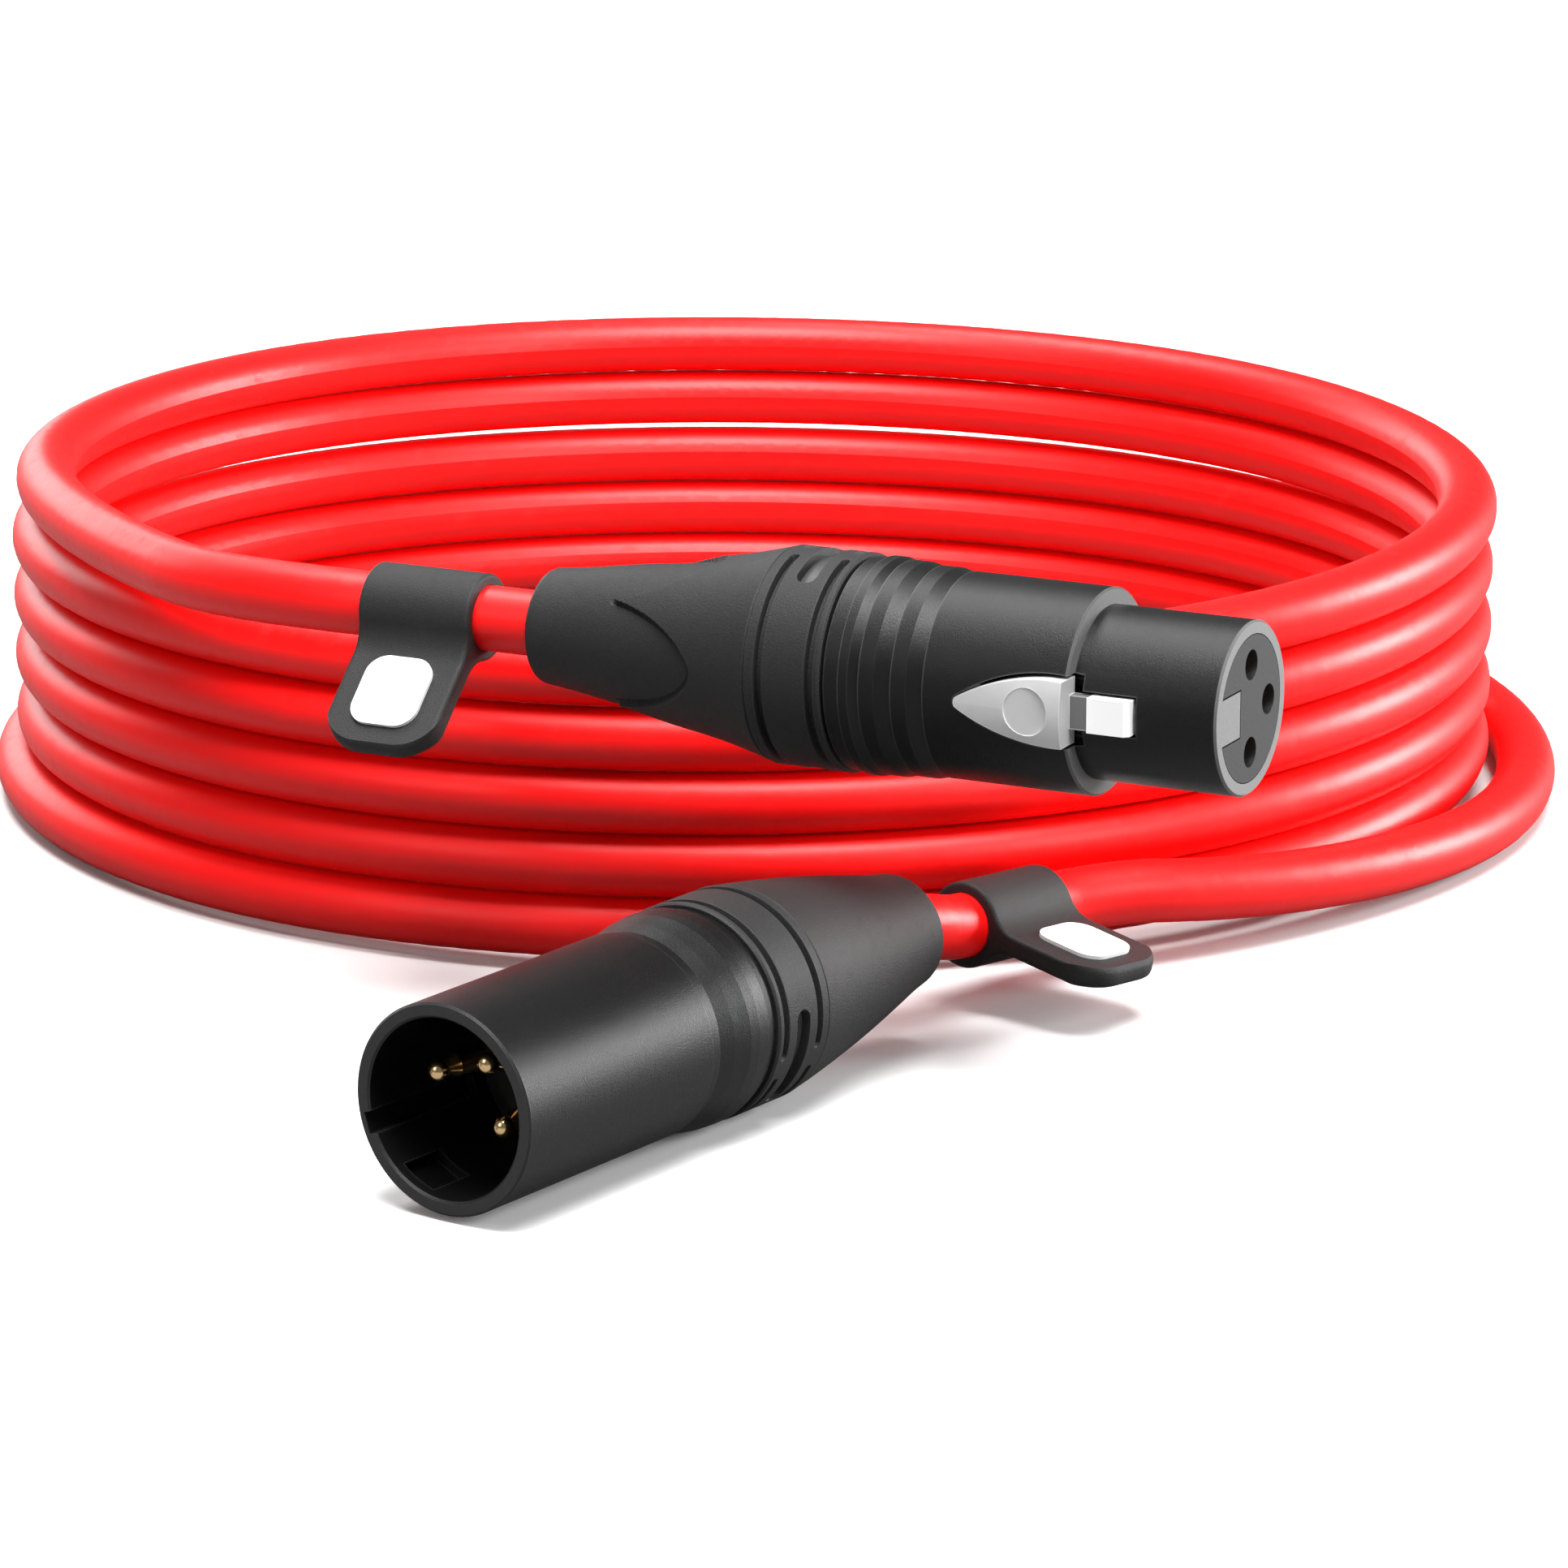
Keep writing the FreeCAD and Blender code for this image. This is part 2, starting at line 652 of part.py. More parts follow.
def latch_lever():
    """The push latch: a bullet-shaped paddle, a neck, a hook and a tail on the pivot."""
    body = new_body("LatchBody")
    paddle = bullet(new_sketch(body, "PaddleSketch", "YZ_Plane", "paddle_floor"), "nose_length", "0",
                    "paddle_bow")
    pad(body, "Paddle", paddle, "4")
    crown = doc.addObject("Part::Cone", "PaddleCrown")
    bind(crown, "Radius1", "paddle_front_radius")
    bind(crown, "Radius2", "paddle_back_radius")
    bind(crown, "Height", "paddle_tip - nose_length + 1")
    bind(crown, "Placement.Base.z", "nose_length")
    crowned = doc.addObject("Part::Common", "CrownedPaddle")
    crowned.Base = body
    crowned.Tool = crown
    dimple = cylinder("Dimple", "dimple_radius", "2")
    dimple.Placement.Rotation = FreeCAD.Rotation(FreeCAD.Vector(0, 1, 0), 90)
    bind(dimple, "Placement.Base.x", "paddle_front_radius - 0.62")
    bind(dimple, "Placement.Base.z", "dimple_place")
    dished = cut_from("DishedPaddle", crowned, dimple)
    arm = new_body("LatchArmBody")
    pad(arm, "Neck", polygon(new_sketch(arm, "NeckSketch", "YZ_Plane", "paddle_floor"), block(
        "-neck_width / 2", "neck_width / 2", "hook_front + hook_length - 0.5", "nose_length + 1")),
        "neck_top - paddle_floor")
    hook = polygon(new_sketch(arm, "HookSketch", "XZ_Plane", "-(neck_width / 2 + 0.05)"), [
        ("paddle_floor", "hook_front"),
        ("hook_top - 0.45", "hook_front"),
        ("hook_top", "hook_front + 0.45"),
        ("hook_top", "hook_front + hook_length"),
        ("paddle_floor", "hook_front + hook_length"),
    ])
    pad(arm, "Hook", hook, "neck_width + 0.1")
    tail = new_body("LatchTailBody")
    pad(tail, "Tail", polygon(new_sketch(tail, "TailSketch", "XZ_Plane", "-1.5"), [
        ("pivot_depth - 0.8", "pivot_place - 2.8"),
        ("pivot_depth + 0.9", "pivot_place - 2.8"),
        ("pivot_depth + 0.9", "pivot_place + 0.5"),
        ("pivot_depth + 0.5", "pivot_place + 0.95"),
        ("pivot_depth - 0.5", "pivot_place + 0.95"),
        ("pivot_depth - 0.8", "pivot_place + 0.5"),
    ]), "3")
    whole = joined("LatchWhole", [dished, arm, tail])
    hole = cylinder("LatchPivotHole", "pivot_radius + 0.05", "8")
    hole.Placement.Rotation = FreeCAD.Rotation(FreeCAD.Vector(1, 0, 0), -90)
    bind(hole, "Placement.Base.x", "pivot_depth")
    bind(hole, "Placement.Base.y", "-4")
    bind(hole, "Placement.Base.z", "pivot_place")
    lever = cut_from("LatchLever", whole, hole)
    doc.recompute()
    return finish(lever, "female_latch_lever", FEMALE)


def latch_pivot_pin():
    body = new_body("LatchPinBody")
    sketch = circles(new_sketch(body, "LatchPinSketch", "XZ_Plane", "-3.0"),
                     [("pivot_depth", "pivot_place", "pivot_radius")])
    pad(body, "LatchPin", sketch, "6")
    return finish(body, "female_latch_pin", FEMALE)


def latch_spring():
    """A leaf spring under the paddle."""
    body = new_body("LatchSpringBody")
    leaf = polygon(new_sketch(body, "LeafSketch", "XZ_Plane", "-1.2"), [
        ("paddle_floor - 0.05", "22.3"),
        ("paddle_floor - 0.25", "22.3"),
        ("paddle_floor - 0.45", "15.4"),
        ("paddle_floor - 0.25", "15.4"),
        ("paddle_floor - 0.05", "20.5"),
    ])
    pad(body, "Leaf", leaf, "2.4")
    return finish(body, "female_latch_spring", FEMALE)


# ---------------------------------------------------------------- chuck, nut, ring and boot


def chuck(label, frame, end):
    """The collet that grips the jacket: a keyed ring, a sleeve and four tapered fingers."""
    body = new_body(label.title().replace("_", "") + "Body")
    tip_bore = "(jacket_radius + 0.05)"
    revolve(body, "ChuckTurning", [
        ("body_bore - 1.45", end + " + chuck_front"),
        ("body_bore - fit", end + " + chuck_front"),
        ("body_bore - fit", end + " + chuck_neck"),
        ("chuck_body", end + " + chuck_neck"),
        ("chuck_body", end + " + chuck_taper"),
        ("chuck_body - 1.7", end + " + chuck_back"),
        (tip_bore, end + " + chuck_back"),
        (tip_bore, end + " + chuck_back - 0.9"),
        ("chuck_bore", end + " + chuck_taper"),
        ("chuck_bore", end + " + chuck_neck - 0.9"),
        ("body_bore - 1.45", end + " + chuck_neck - 0.9"),
    ])
    rib = new_sketch(body, "RibSketch", "XY_Plane", end + " + chuck_front")
    polygon(rib, block("-rib_width / 2", "rib_width / 2", "body_bore - 0.5", "body_bore + rib_height"))
    ribs = pad(body, "Rib", rib, "chuck_neck - chuck_front")
    pattern(body, "Ribs", ribs, 2)
    slot = new_sketch(body, "SlotSketch", "XY_Plane", end + " + chuck_taper + 0.6")
    polygon(slot, block("1.5", "8", "-0.5", "0.5"))
    cut = pocket(body, "Slot", slot, "8")
    pattern(body, "Slots", cut, 4)
    return finish(body, label, frame)


def boot_nut(label, frame, end):
    """The hard nut inside the boot: a threaded sleeve, a body and a tube that holds the rubber."""
    body = new_body(label.title().replace("_", "") + "Body")
    revolve(body, "NutTurning", [
        ("chuck_body + fit", end + " + nut_front"),
        ("body_bore - fit", end + " + nut_front"),
        ("body_bore - fit", end + " + seam_gap"),
        ("nut_body", end + " + seam_gap"),
        ("nut_body", end + " + nut_shoulder"),
        ("nut_tube", end + " + nut_shoulder"),
        ("nut_tube - 0.6", end + " + nut_back"),
        ("jacket_radius + 0.4", end + " + nut_back"),
        ("jacket_radius + 0.4", end + " + chuck_back + 0.1"),
        ("chuck_body - 1.7 + fit", end + " + chuck_back + 0.1"),
        ("chuck_body + fit", end + " + chuck_taper"),
    ])
    return finish(body, label, frame)


def coding_ring(label, frame, end):
    """The plain ring that shows through the collar's two windows."""
    body = new_body(label.title().replace("_", "") + "Body")
    revolve(body, "RingTurning", block("nut_body + 0.03", "ring_radius",
                                       end + " + ring_front", end + " + ring_back"))
    return finish(body, label, frame)


def boot(side, frame, end):
    """The rubber boot: a collar with thin grooves and two windows, then a tapering sleeve.

    Its bore flares towards the cable, so it can be drawn back over the cable's bend.
    """
    label = side + "_boot"
    body = new_body(label.title().replace("_", "") + "Body")
    outline = [
        ("nut_body + 0.05", end + " + seam_gap"),
        ("collar_radius - edge_bevel", end + " + seam_gap"),
        ("collar_radius", end + " + seam_gap + edge_bevel"),
        ("collar_radius", end + " + collar_length - 0.06"),
        ("collar_radius - 0.14", end + " + collar_length"),
        ("collar_radius - 0.05", end + " + collar_length + 0.1"),
    ]
    for part in ("knee", "middle", "tail"):
        outline.append(("%s_%s_radius" % (side, part), end + " + boot_" + part))
    outline += [
        ("boot_end_radius", end + " + boot_length - 0.8"),
        ("boot_end_radius - 0.6", end + " + boot_length"),
        ("jacket_radius + boot_flare", end + " + boot_length"),
        ("jacket_radius + 0.1", end + " + boot_length - boot_flare_depth"),
        ("jacket_radius + 0.1", end + " + nut_back + 0.1"),
        ("nut_tube - 0.55", end + " + nut_back + 0.1"),
        ("nut_tube + 0.05", end + " + nut_shoulder + 0.05"),
        ("nut_body + 0.05", end + " + nut_shoulder + 0.05"),
        ("nut_body + 0.05", end + " + ring_back + 0.05"),
        ("ring_radius + 0.05", end + " + ring_back + 0.05"),
        ("ring_radius + 0.05", end + " + ring_front - 0.05"),
        ("nut_body + 0.05", end + " + ring_front - 0.05"),
    ]
    revolve(body, "BootTurning", outline)
    middle = "(ring_front + ring_back) / 2"
    window = groove(body, "Window", block("ring_radius - 0.1", "collar_radius + 1",
                    end + " + " + middle + " - window_width / 2",
                    end + " + " + middle + " + window_width / 2"),
                    mm("window_angle") - mm("window_span") / 2, mm("window_span"))
    pattern(body, "Windows", window, 2)
    for index, place in enumerate(("0.9", "6.0"), start=1):
        thin = groove(body, "Groove%d" % index, block("collar_radius - groove_depth", "collar_radius + 1",
                      end + " + " + place, end + " + " + place + " + groove_width"),
                      mm("window_angle") + (180 - mm("groove_span")) / 2, mm("groove_span"))
        pattern(body, "Grooves%d" % index, thin, 2)
    return finish(body, label, frame)


# ---------------------------------------------------------------- tags


def tag_frame(start, angle, flipped):
    """The place of a tag: Z along the cable, X out along the flag. Flipped, its face looks the other way."""
    turn = FreeCAD.Rotation(FreeCAD.Vector(0, 0, 1), angle)
    if not flipped:
        return start.multiply(FreeCAD.Placement(FreeCAD.Vector(0, 0, 0), turn))
    over = turn.multiply(FreeCAD.Rotation(FreeCAD.Vector(1, 0, 0), 180))
    return start.multiply(FreeCAD.Placement(FreeCAD.Vector(0, 0, mm("tag_width")), over))


def tag(label, place):
    """A rubber write-on tag: a band round the cable with a flag standing out from it."""
    band = cylinder(label + "_band", "tag_band", "tag_width")
    flag = doc.addObject("Part::Box", label + "_flag")
    bind(flag, "Length", "tag_reach")
    bind(flag, "Width", "tag_plate")
    bind(flag, "Height", "tag_width")
    bind(flag, "Placement.Base.y", "-tag_plate / 2")
    rounded = doc.addObject("Part::Fillet", label + "_rounded")
    rounded.Base = flag
    doc.recompute()
    radius = mm("tag_corner")
    reach = mm("tag_reach")
    rounded.Edges = [(number, radius, radius) for number, edge in enumerate(flag.Shape.Edges, start=1)
                     if all(abs(corner.X - reach) < 1e-6 for corner in edge.Vertexes)
                     and abs(edge.Length - mm("tag_plate")) < 1e-6]
    body = joined(label + "_solid", [band, rounded])
    hole = cylinder(label + "_hole", "jacket_radius + 0.06", "tag_width + 2", ("0", "0", "-1"))
    whole = cut_from(label + "_cut", body, hole)
    doc.recompute()
    return finish(whole, label, place)


def tag_panel(label, place):
    """The raised blank writing panel on the flag."""
    plate = doc.addObject("Part::Box", label + "_plate")
    bind(plate, "Length", "panel_length")
    bind(plate, "Width", "panel_height")
    bind(plate, "Height", "panel_width")
    bind(plate, "Placement.Base.x", "tag_reach - panel_length - 2.2")
    bind(plate, "Placement.Base.y", "tag_plate / 2 + 0.01")
    bind(plate, "Placement.Base.z", "(tag_width - panel_width) / 2")
    rounded = doc.addObject("Part::Fillet", label + "_rounded")
    rounded.Base = plate
    doc.recompute()
    height = mm("panel_height")
    corner = 0.3 * mm("panel_width")
    rounded.Edges = [(number, corner, corner) for number, edge in enumerate(plate.Shape.Edges, start=1)
                     if abs(edge.Length - height) < 1e-6]
    doc.recompute()
    return finish(rounded, label, place)


# ---------------------------------------------------------------- cable


def smooth(value):
    """A rise from 0 to 1 with level ends."""
    value = min(max(value, 0.0), 1.0)
    return value * value * (3 - 2 * value)


def coil_point(turn):
    """The cable's centre line on the coil. Whole turns are on the left, the coil is wound clockwise."""
    angle = math.pi - 2 * math.pi * turn
    ground = mm("jacket_radius")
    at_back = max(0.0, math.sin(angle)) ** 2
    sag = mm("back_sag") + (mm("low_back_sag") - mm("back_sag")) * smooth((turn - 1.5) / 0.5)
    height = mm("coil_top") - mm("coil_pitch") * turn - sag * at_back * (1 - smooth((turn - 4.75) / 0.2))
    spread = mm("outer_turn_spread") * smooth((turn - 4.78) / 0.62) ** 0.8
    offset = mm("coil_offset") * smooth(turn / 0.9)
    return FreeCAD.Vector(offset + (mm("coil_radius") + spread) * math.cos(angle),
                          (mm("coil_radius") + spread) * math.sin(angle), max(ground, height))


def polar_point(radius, angle, height):
    turn = math.radians(angle)
    return FreeCAD.Vector(radius * math.cos(turn), radius * math.sin(turn), height)


def blend(start, start_direction, end, end_direction):
    """A curve that leaves one point and reaches another along given directions."""
    reach = (end - start).Length / 3
    curve = Part.BezierCurve()
    curve.setPoles([start, start + start_direction * reach, end - end_direction * reach, end])
    return curve.toShape()


def lay_points():
    """The centre line between the two straight ends."""
    top = mm("coil_top")
    ground = mm("jacket_radius")
    outer = mm("coil_radius") + mm("outer_turn_spread")
    points = [polar_point(mm("coil_radius") + 8.3, 227, top + 2.3),
              polar_point(mm("coil_radius") + 1.2, 205, top + 1.0)]
    steps = 8
    points += [coil_point(step / steps) for step in range(int(mm("coil_turns") * steps) + 1)]
    points += [polar_point(outer - 0.2, -25, ground + 0.4),
               polar_point(outer - 0.5, -47, ground + 2.0),
               polar_point(outer - 0.1, -62, ground + 4.2)]
    return points


def stretch(frame, near, far, lift):
    """A straight piece of centre line along a frame's Z."""
    return Part.makeLine(on_axis(frame, near) + lift, on_axis(frame, far) + lift)


def bridge(before, after):
    """A curve from the end of one edge to the start of the next."""
    return blend(before.valueAt(before.LastParameter), before.tangentAt(before.LastParameter),
                 after.valueAt(after.FirstParameter), after.tangentAt(after.FirstParameter))


def cable_edges(offset=0.0):
    """The cable's centre line, or a line a set height above it: female end, coil, male tag, male end."""
    lift = FreeCAD.Vector(0, 0, offset)
    clear = mm("tag_clearance")
    past_tag = mm("tag_width") + clear
    female_near = mm("female_end") + 4
    female_far = mm("female_end") + mm("boot_length") + mm("female_tag_gap") + past_tag
    male_far = mm("male_end") + mm("boot_length") + clear
    female_run = stretch(FEMALE, female_near, female_far, lift)
    coil = Part.BSplineCurve()
    coil.interpolate([point + lift for point in lay_points()])
    coil_run = coil.toShape()
    tag_run = stretch(MALE_TAG, past_tag, -clear, lift)
    male_run = stretch(MALE, male_far, mm("male_end") + 4, lift)
    return [female_run, bridge(female_run, coil_run), coil_run, bridge(coil_run, tag_run),
            tag_run, bridge(tag_run, male_run), male_run]


def tube_along(path, outer, inner=0.0):
    """A round tube or rod swept along a wire."""
    start = path.Edges[0].valueAt(path.Edges[0].FirstParameter)
    direction = path.Edges[0].tangentAt(path.Edges[0].FirstParameter)
    rim = Part.Wire(Part.makeCircle(outer, start, direction))
    face = Part.Face(rim)
    if inner > 0:
        face = face.cut(Part.Face(Part.Wire(Part.makeCircle(inner, start, direction)))).Faces[0]
    return path.makePipe(face)


def swept(label, shape):
    """A Part::Feature for a sweep that follows a line worked out in code."""
    feature = doc.addObject("Part::Feature", label.title().replace("_", ""))
    feature.Shape = shape
    feature.Label = label
    finished.append(feature)
    return feature


def fan_out(frame, angle, start):
    """A wire's way from inside a solder cup to the stripped end of the cable."""
    circle = mm("contact_circle")
    inside = beside(frame, circle, angle, mm("cup_back") - 2)
    outside = beside(frame, circle, angle, mm("cup_back") + 0.8)
    away = (outside - inside).normalize()
    return [Part.makeLine(inside, outside), blend(outside, away, start, away)]


def backwards(edges):
    """The same edges, run through from the other end."""
    turned = []
    for edge in reversed(edges):
        curve = edge.Curve.trim(edge.FirstParameter, edge.LastParameter)
        curve.reverse()
        turned.append(curve.toShape())
    return turned


def conductor(label, lift, female_angle, male_angle):
    """One insulated conductor from cup to cup, inside the shield for the whole run."""
    up = FreeCAD.Vector(0, 0, lift)
    female = fan_out(FEMALE, female_angle, on_axis(FEMALE, mm("female_end") + 4) + up)
    male = fan_out(MALE, male_angle, on_axis(MALE, mm("male_end") + 4) + up)
    path = Part.Wire(female + cable_edges(lift) + backwards(male))
    return swept(label, tube_along(path, mm("core_radius")))


def drain_tail(label, frame, end):
    """The twisted end of the shield, led to the third solder cup."""
    path = Part.Wire(fan_out(frame, 180, beside(frame, 2.1, 180, end + 3.95)))
    return swept(label, tube_along(path, 0.4))


def cable():
    path = Part.Wire(cable_edges())
    swept("cable_jacket", tube_along(path, mm("jacket_radius"), mm("jacket_bore")))
    swept("cable_shield", tube_along(path, mm("shield_outer"), mm("shield_bore")))
    half = mm("core_spacing") / 2
    conductor("conductor_hot", half, 90, 90)
    conductor("conductor_cold", -half, 270, 270)
    drain_tail("female_drain_tail", FEMALE, mm("female_end"))
    drain_tail("male_drain_tail", MALE, mm("male_end"))


# ---------------------------------------------------------------- assembly

female_shell()
female_insert()
female_contacts()
earth_clip("female_earth_clip", FEMALE)
latch_lever()
latch_pivot_pin()
latch_spring()
male_shell()
male_insert()
male_pins()
earth_clip("male_earth_clip", MALE)
for side, frame, end in (("female", FEMALE, "female_end"), ("male", MALE, "male_end")):
    chuck(side + "_chuck", frame, end)
    boot_nut(side + "_boot_nut", frame, end)
    coding_ring(side + "_coding_ring", frame, end)
    boot(side, frame, end)
for side, start, flipped in (("female", FEMALE_TAG, False), ("male", MALE_TAG, True)):
    place = tag_frame(start, mm(side + "_tag_angle"), flipped)
    tag(side + "_tag", place)
    tag_panel(side + "_tag_panel", place)
cable()
doc.recompute()

for item in doc.Objects:
    if "Invalid" in item.State or "Error" in item.State:
        raise RuntimeError(item.Name + " failed: " + ", ".join(item.State))
for item in finished:
    if item.Shape.isNull() or not item.Shape.isValid():
        raise RuntimeError(item.Label + " has no valid shape")

os.makedirs("parts", exist_ok=True)
for item in finished:
    item.Shape.exportStep(os.path.join("parts", item.Label + ".step"))
    print("%-22s %3d solids %9.1f mm3" % (item.Label, len(item.Shape.Solids), item.Shape.Volume))
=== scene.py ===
import functools
import json
import math

import bpy
from mathutils import Matrix, Vector


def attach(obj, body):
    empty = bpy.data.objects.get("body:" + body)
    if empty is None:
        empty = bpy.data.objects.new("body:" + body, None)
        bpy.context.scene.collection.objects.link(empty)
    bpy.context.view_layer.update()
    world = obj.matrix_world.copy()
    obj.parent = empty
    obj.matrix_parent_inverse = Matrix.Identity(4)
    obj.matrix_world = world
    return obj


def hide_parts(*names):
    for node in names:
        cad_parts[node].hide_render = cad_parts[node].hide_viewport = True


# Looks for the microphone cable coil: materials for every CAD node, and new meshes for the
# rubber boots and tags. Distances are in millimetres, except where a comment says metres.

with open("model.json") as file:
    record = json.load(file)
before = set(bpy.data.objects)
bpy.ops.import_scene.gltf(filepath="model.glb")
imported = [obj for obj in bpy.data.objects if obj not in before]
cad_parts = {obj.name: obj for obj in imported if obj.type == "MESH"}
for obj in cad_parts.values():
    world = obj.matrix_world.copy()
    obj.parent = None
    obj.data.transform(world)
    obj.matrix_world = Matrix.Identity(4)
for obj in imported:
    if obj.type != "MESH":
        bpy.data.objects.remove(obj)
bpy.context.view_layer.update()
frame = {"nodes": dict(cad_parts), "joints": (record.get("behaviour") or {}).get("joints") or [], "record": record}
nodes = frame["nodes"]

MM = 0.001
SHELL_END = {"female": 37.75, "male": 35.35}
ROLL = {"female": 0.0, "male": -62.0}
NOSE_MOUNT = {"female": "female_nose", "male": "male_mouth"}
SHARP_ANGLE = 38.0
EDGE_GAIN = 6.0
EDGE_SAMPLES = 4

# where the painted reflections on the shells' end faces and the latch's painted reflection and painted shadow
# start and stop, as distances behind the mating end
NOSE_REFLECTION_BACK = 7.0
STEP_REFLECTION_SPAN = (12.0, 16.0)
RIM_REFLECTION_BACK = 1.0
HOOK_REFLECTION_BACK = 12.05
NECK_SHADOW_BACK = 13.85

# how much of the painted reflection's grey shows on the step behind the nose
STEP_REFLECTION_SHARE = 0.62


# ---------------------------------------------------------------- places


def axis_frame(start, along, side):
    """A frame in mm whose Z runs along a direction and whose X is level before the connector's roll."""
    across = Vector((0, 0, 1)).cross(along).normalized()
    turn = Matrix((across, along.cross(across), along)).transposed().to_4x4()
    roll = Matrix.Rotation(math.radians(ROLL[side]), 4, "Z")
    return Matrix.Translation(start) @ turn @ roll @ Matrix.Scale(MM, 4)


def connector_frame(side):
    """A connector's own frame: Z runs from the mating end to the cable, X to the latch side."""
    mount = next(m for m in frame["record"]["mounts"] if m["name"] == NOSE_MOUNT[side])
    return axis_frame(Vector(mount["pos_m"]), -Vector(mount["axis"]).normalized(), side)


CONNECTOR = {side: connector_frame(side) for side in SHELL_END}


def smooth(value):
    """A rise from 0 to 1 with level ends."""
    value = min(max(value, 0.0), 1.0)
    return value * value * (3 - 2 * value)


def steps(low, high, size):
    """Evenly spaced values from low up to, but not including, high."""
    count = max(1, round((high - low) / size))
    return [low + (high - low) * index / count for index in range(count)]


# ---------------------------------------------------------------- shader helpers


class Surface:
    """One node material and short calls that add to it."""

    def __init__(self, name):
        self.material = bpy.data.materials.new(name)
        self.material.use_nodes = True
        self.tree = self.material.node_tree
        self.shader = self.tree.nodes["Principled BSDF"]

    def feed(self, entry, value):
        """Link a socket to an input, or give the input a number or colour of its own."""
        if isinstance(value, bpy.types.NodeSocket):
            self.tree.links.new(value, entry)
        else:
            entry.default_value = value

    def node(self, kind, inputs=(), **settings):
        """A node with its settings and inputs; an input is a number, a colour or another socket."""
        made = self.tree.nodes.new(kind)
        for name, value in settings.items():
            setattr(made, name, value)
        for key, value in dict(inputs).items():
            self.feed(made.inputs[key], value)
        return made

    def set(self, name, value):
        """Give the shader a number, a colour or a socket."""
        self.feed(self.shader.inputs[name], value)

    def object_place(self):
        """The point's place in metres."""
        return self.node("ShaderNodeTexCoord").outputs["Object"]

    def calc(self, operation, first, second=0.0, clamp=False):
        """One sum on two numbers or sockets."""
        made = self.node("ShaderNodeMath", {0: first, 1: second}, operation=operation)
        made.use_clamp = clamp
        return made.outputs[0]

    def noise(self, size_mm, detail=3.0, roughness=0.55, place=None):
        """Noise whose features are about size_mm across, from 0 to 1."""
        made = self.node("ShaderNodeTexNoise", {
            "Vector": place or self.object_place(), "Scale": 1 / (size_mm * MM),
            "Detail": detail, "Roughness": roughness})
        return made.outputs["Fac"]

    def between(self, value, low, high):
        """The value mapped so that low becomes 0 and high becomes 1, kept within them."""
        made = self.node("ShaderNodeMapRange", {
            "Value": value, "From Min": low, "From Max": high}, interpolation_type="SMOOTHSTEP")
        return made.outputs["Result"]

    def ranged(self, value, low, high):
        """A 0 to 1 value spread over low to high."""
        made = self.node("ShaderNodeMapRange", {"Value": value, "To Min": low, "To Max": high})
        return made.outputs["Result"]

    def mix(self, factor, first, second):
        """A colour between two colours: inputs 6 and 7 and output 2 are the node's colours."""
        made = self.node("ShaderNodeMix", {0: factor, 6: first, 7: second}, data_type="RGBA")
        return made.outputs[2]

    def behind_mating_end(self, side):
        """The distance in mm behind a connector's mating end."""
        place = CONNECTOR[side]
        direction = place.to_3x3().col[2].normalized()
        start = direction.dot(place.translation)
        made = self.node("ShaderNodeVectorMath", {0: self.object_place(), 1: direction},
                         operation="DOT_PRODUCT")
        return self.calc("MULTIPLY", self.calc("SUBTRACT", made.outputs["Value"], start), 1 / MM)

    def edges(self, radius_mm):
        """1 on edges of the shape and 0 on its faces."""
        rounded = self.node("ShaderNodeBevel", {"Radius": radius_mm * MM}, samples=EDGE_SAMPLES)
        flat = self.node("ShaderNodeNewGeometry").outputs["Normal"]
        same = self.node("ShaderNodeVectorMath", {0: rounded.outputs["Normal"], 1: flat},
                         operation="DOT_PRODUCT").outputs["Value"]
        return self.calc("MULTIPLY", self.calc("SUBTRACT", 1.0, same), EDGE_GAIN, clamp=True)

    def bump(self, *layers):
        """Raise the surface by layers of (height 0 to 1, depth in mm)."""
        normal = None
        for height, depth in layers:
            made = self.node("ShaderNodeBump", {"Height": height, "Distance": depth * MM})
            if normal is not None:
                self.tree.links.new(normal, made.inputs["Normal"])
            normal = made.outputs["Normal"]
        self.set("Normal", normal)


def grey(level, tint=(1.0, 1.0, 1.0)):
    """A colour from one linear level and a tint."""
    return (level * tint[0], level * tint[1], level * tint[2], 1.0)


# ---------------------------------------------------------------- materials


def jacket_material():
    """Smooth satin PVC in a strong red, with faint extrusion ripples and handling marks."""
    surface = Surface("jacket_pvc")
    cloud = surface.noise(14.0, 2.0)
    speck = surface.noise(0.35, 4.0)
    scuff = surface.between(surface.noise(2.6, 5.0, 0.7), 0.56, 0.72)
    tone = surface.mix(cloud, (0.92, 0.0006, 0.0008, 1), (0.97, 0.0018, 0.0018, 1))
    pale = surface.calc("MULTIPLY", scuff, 0.10)
    surface.set("Base Color", surface.mix(pale, tone, (0.90, 0.03, 0.025, 1)))
    rough = surface.calc("ADD", surface.ranged(speck, 0.38, 0.48), surface.calc("MULTIPLY", scuff, 0.08))
    surface.set("Roughness", rough)
    surface.set("Specular IOR Level", 0.4)
    surface.bump((surface.noise(5.0, 2.0), 0.05), (speck, 0.004))
    return surface.material


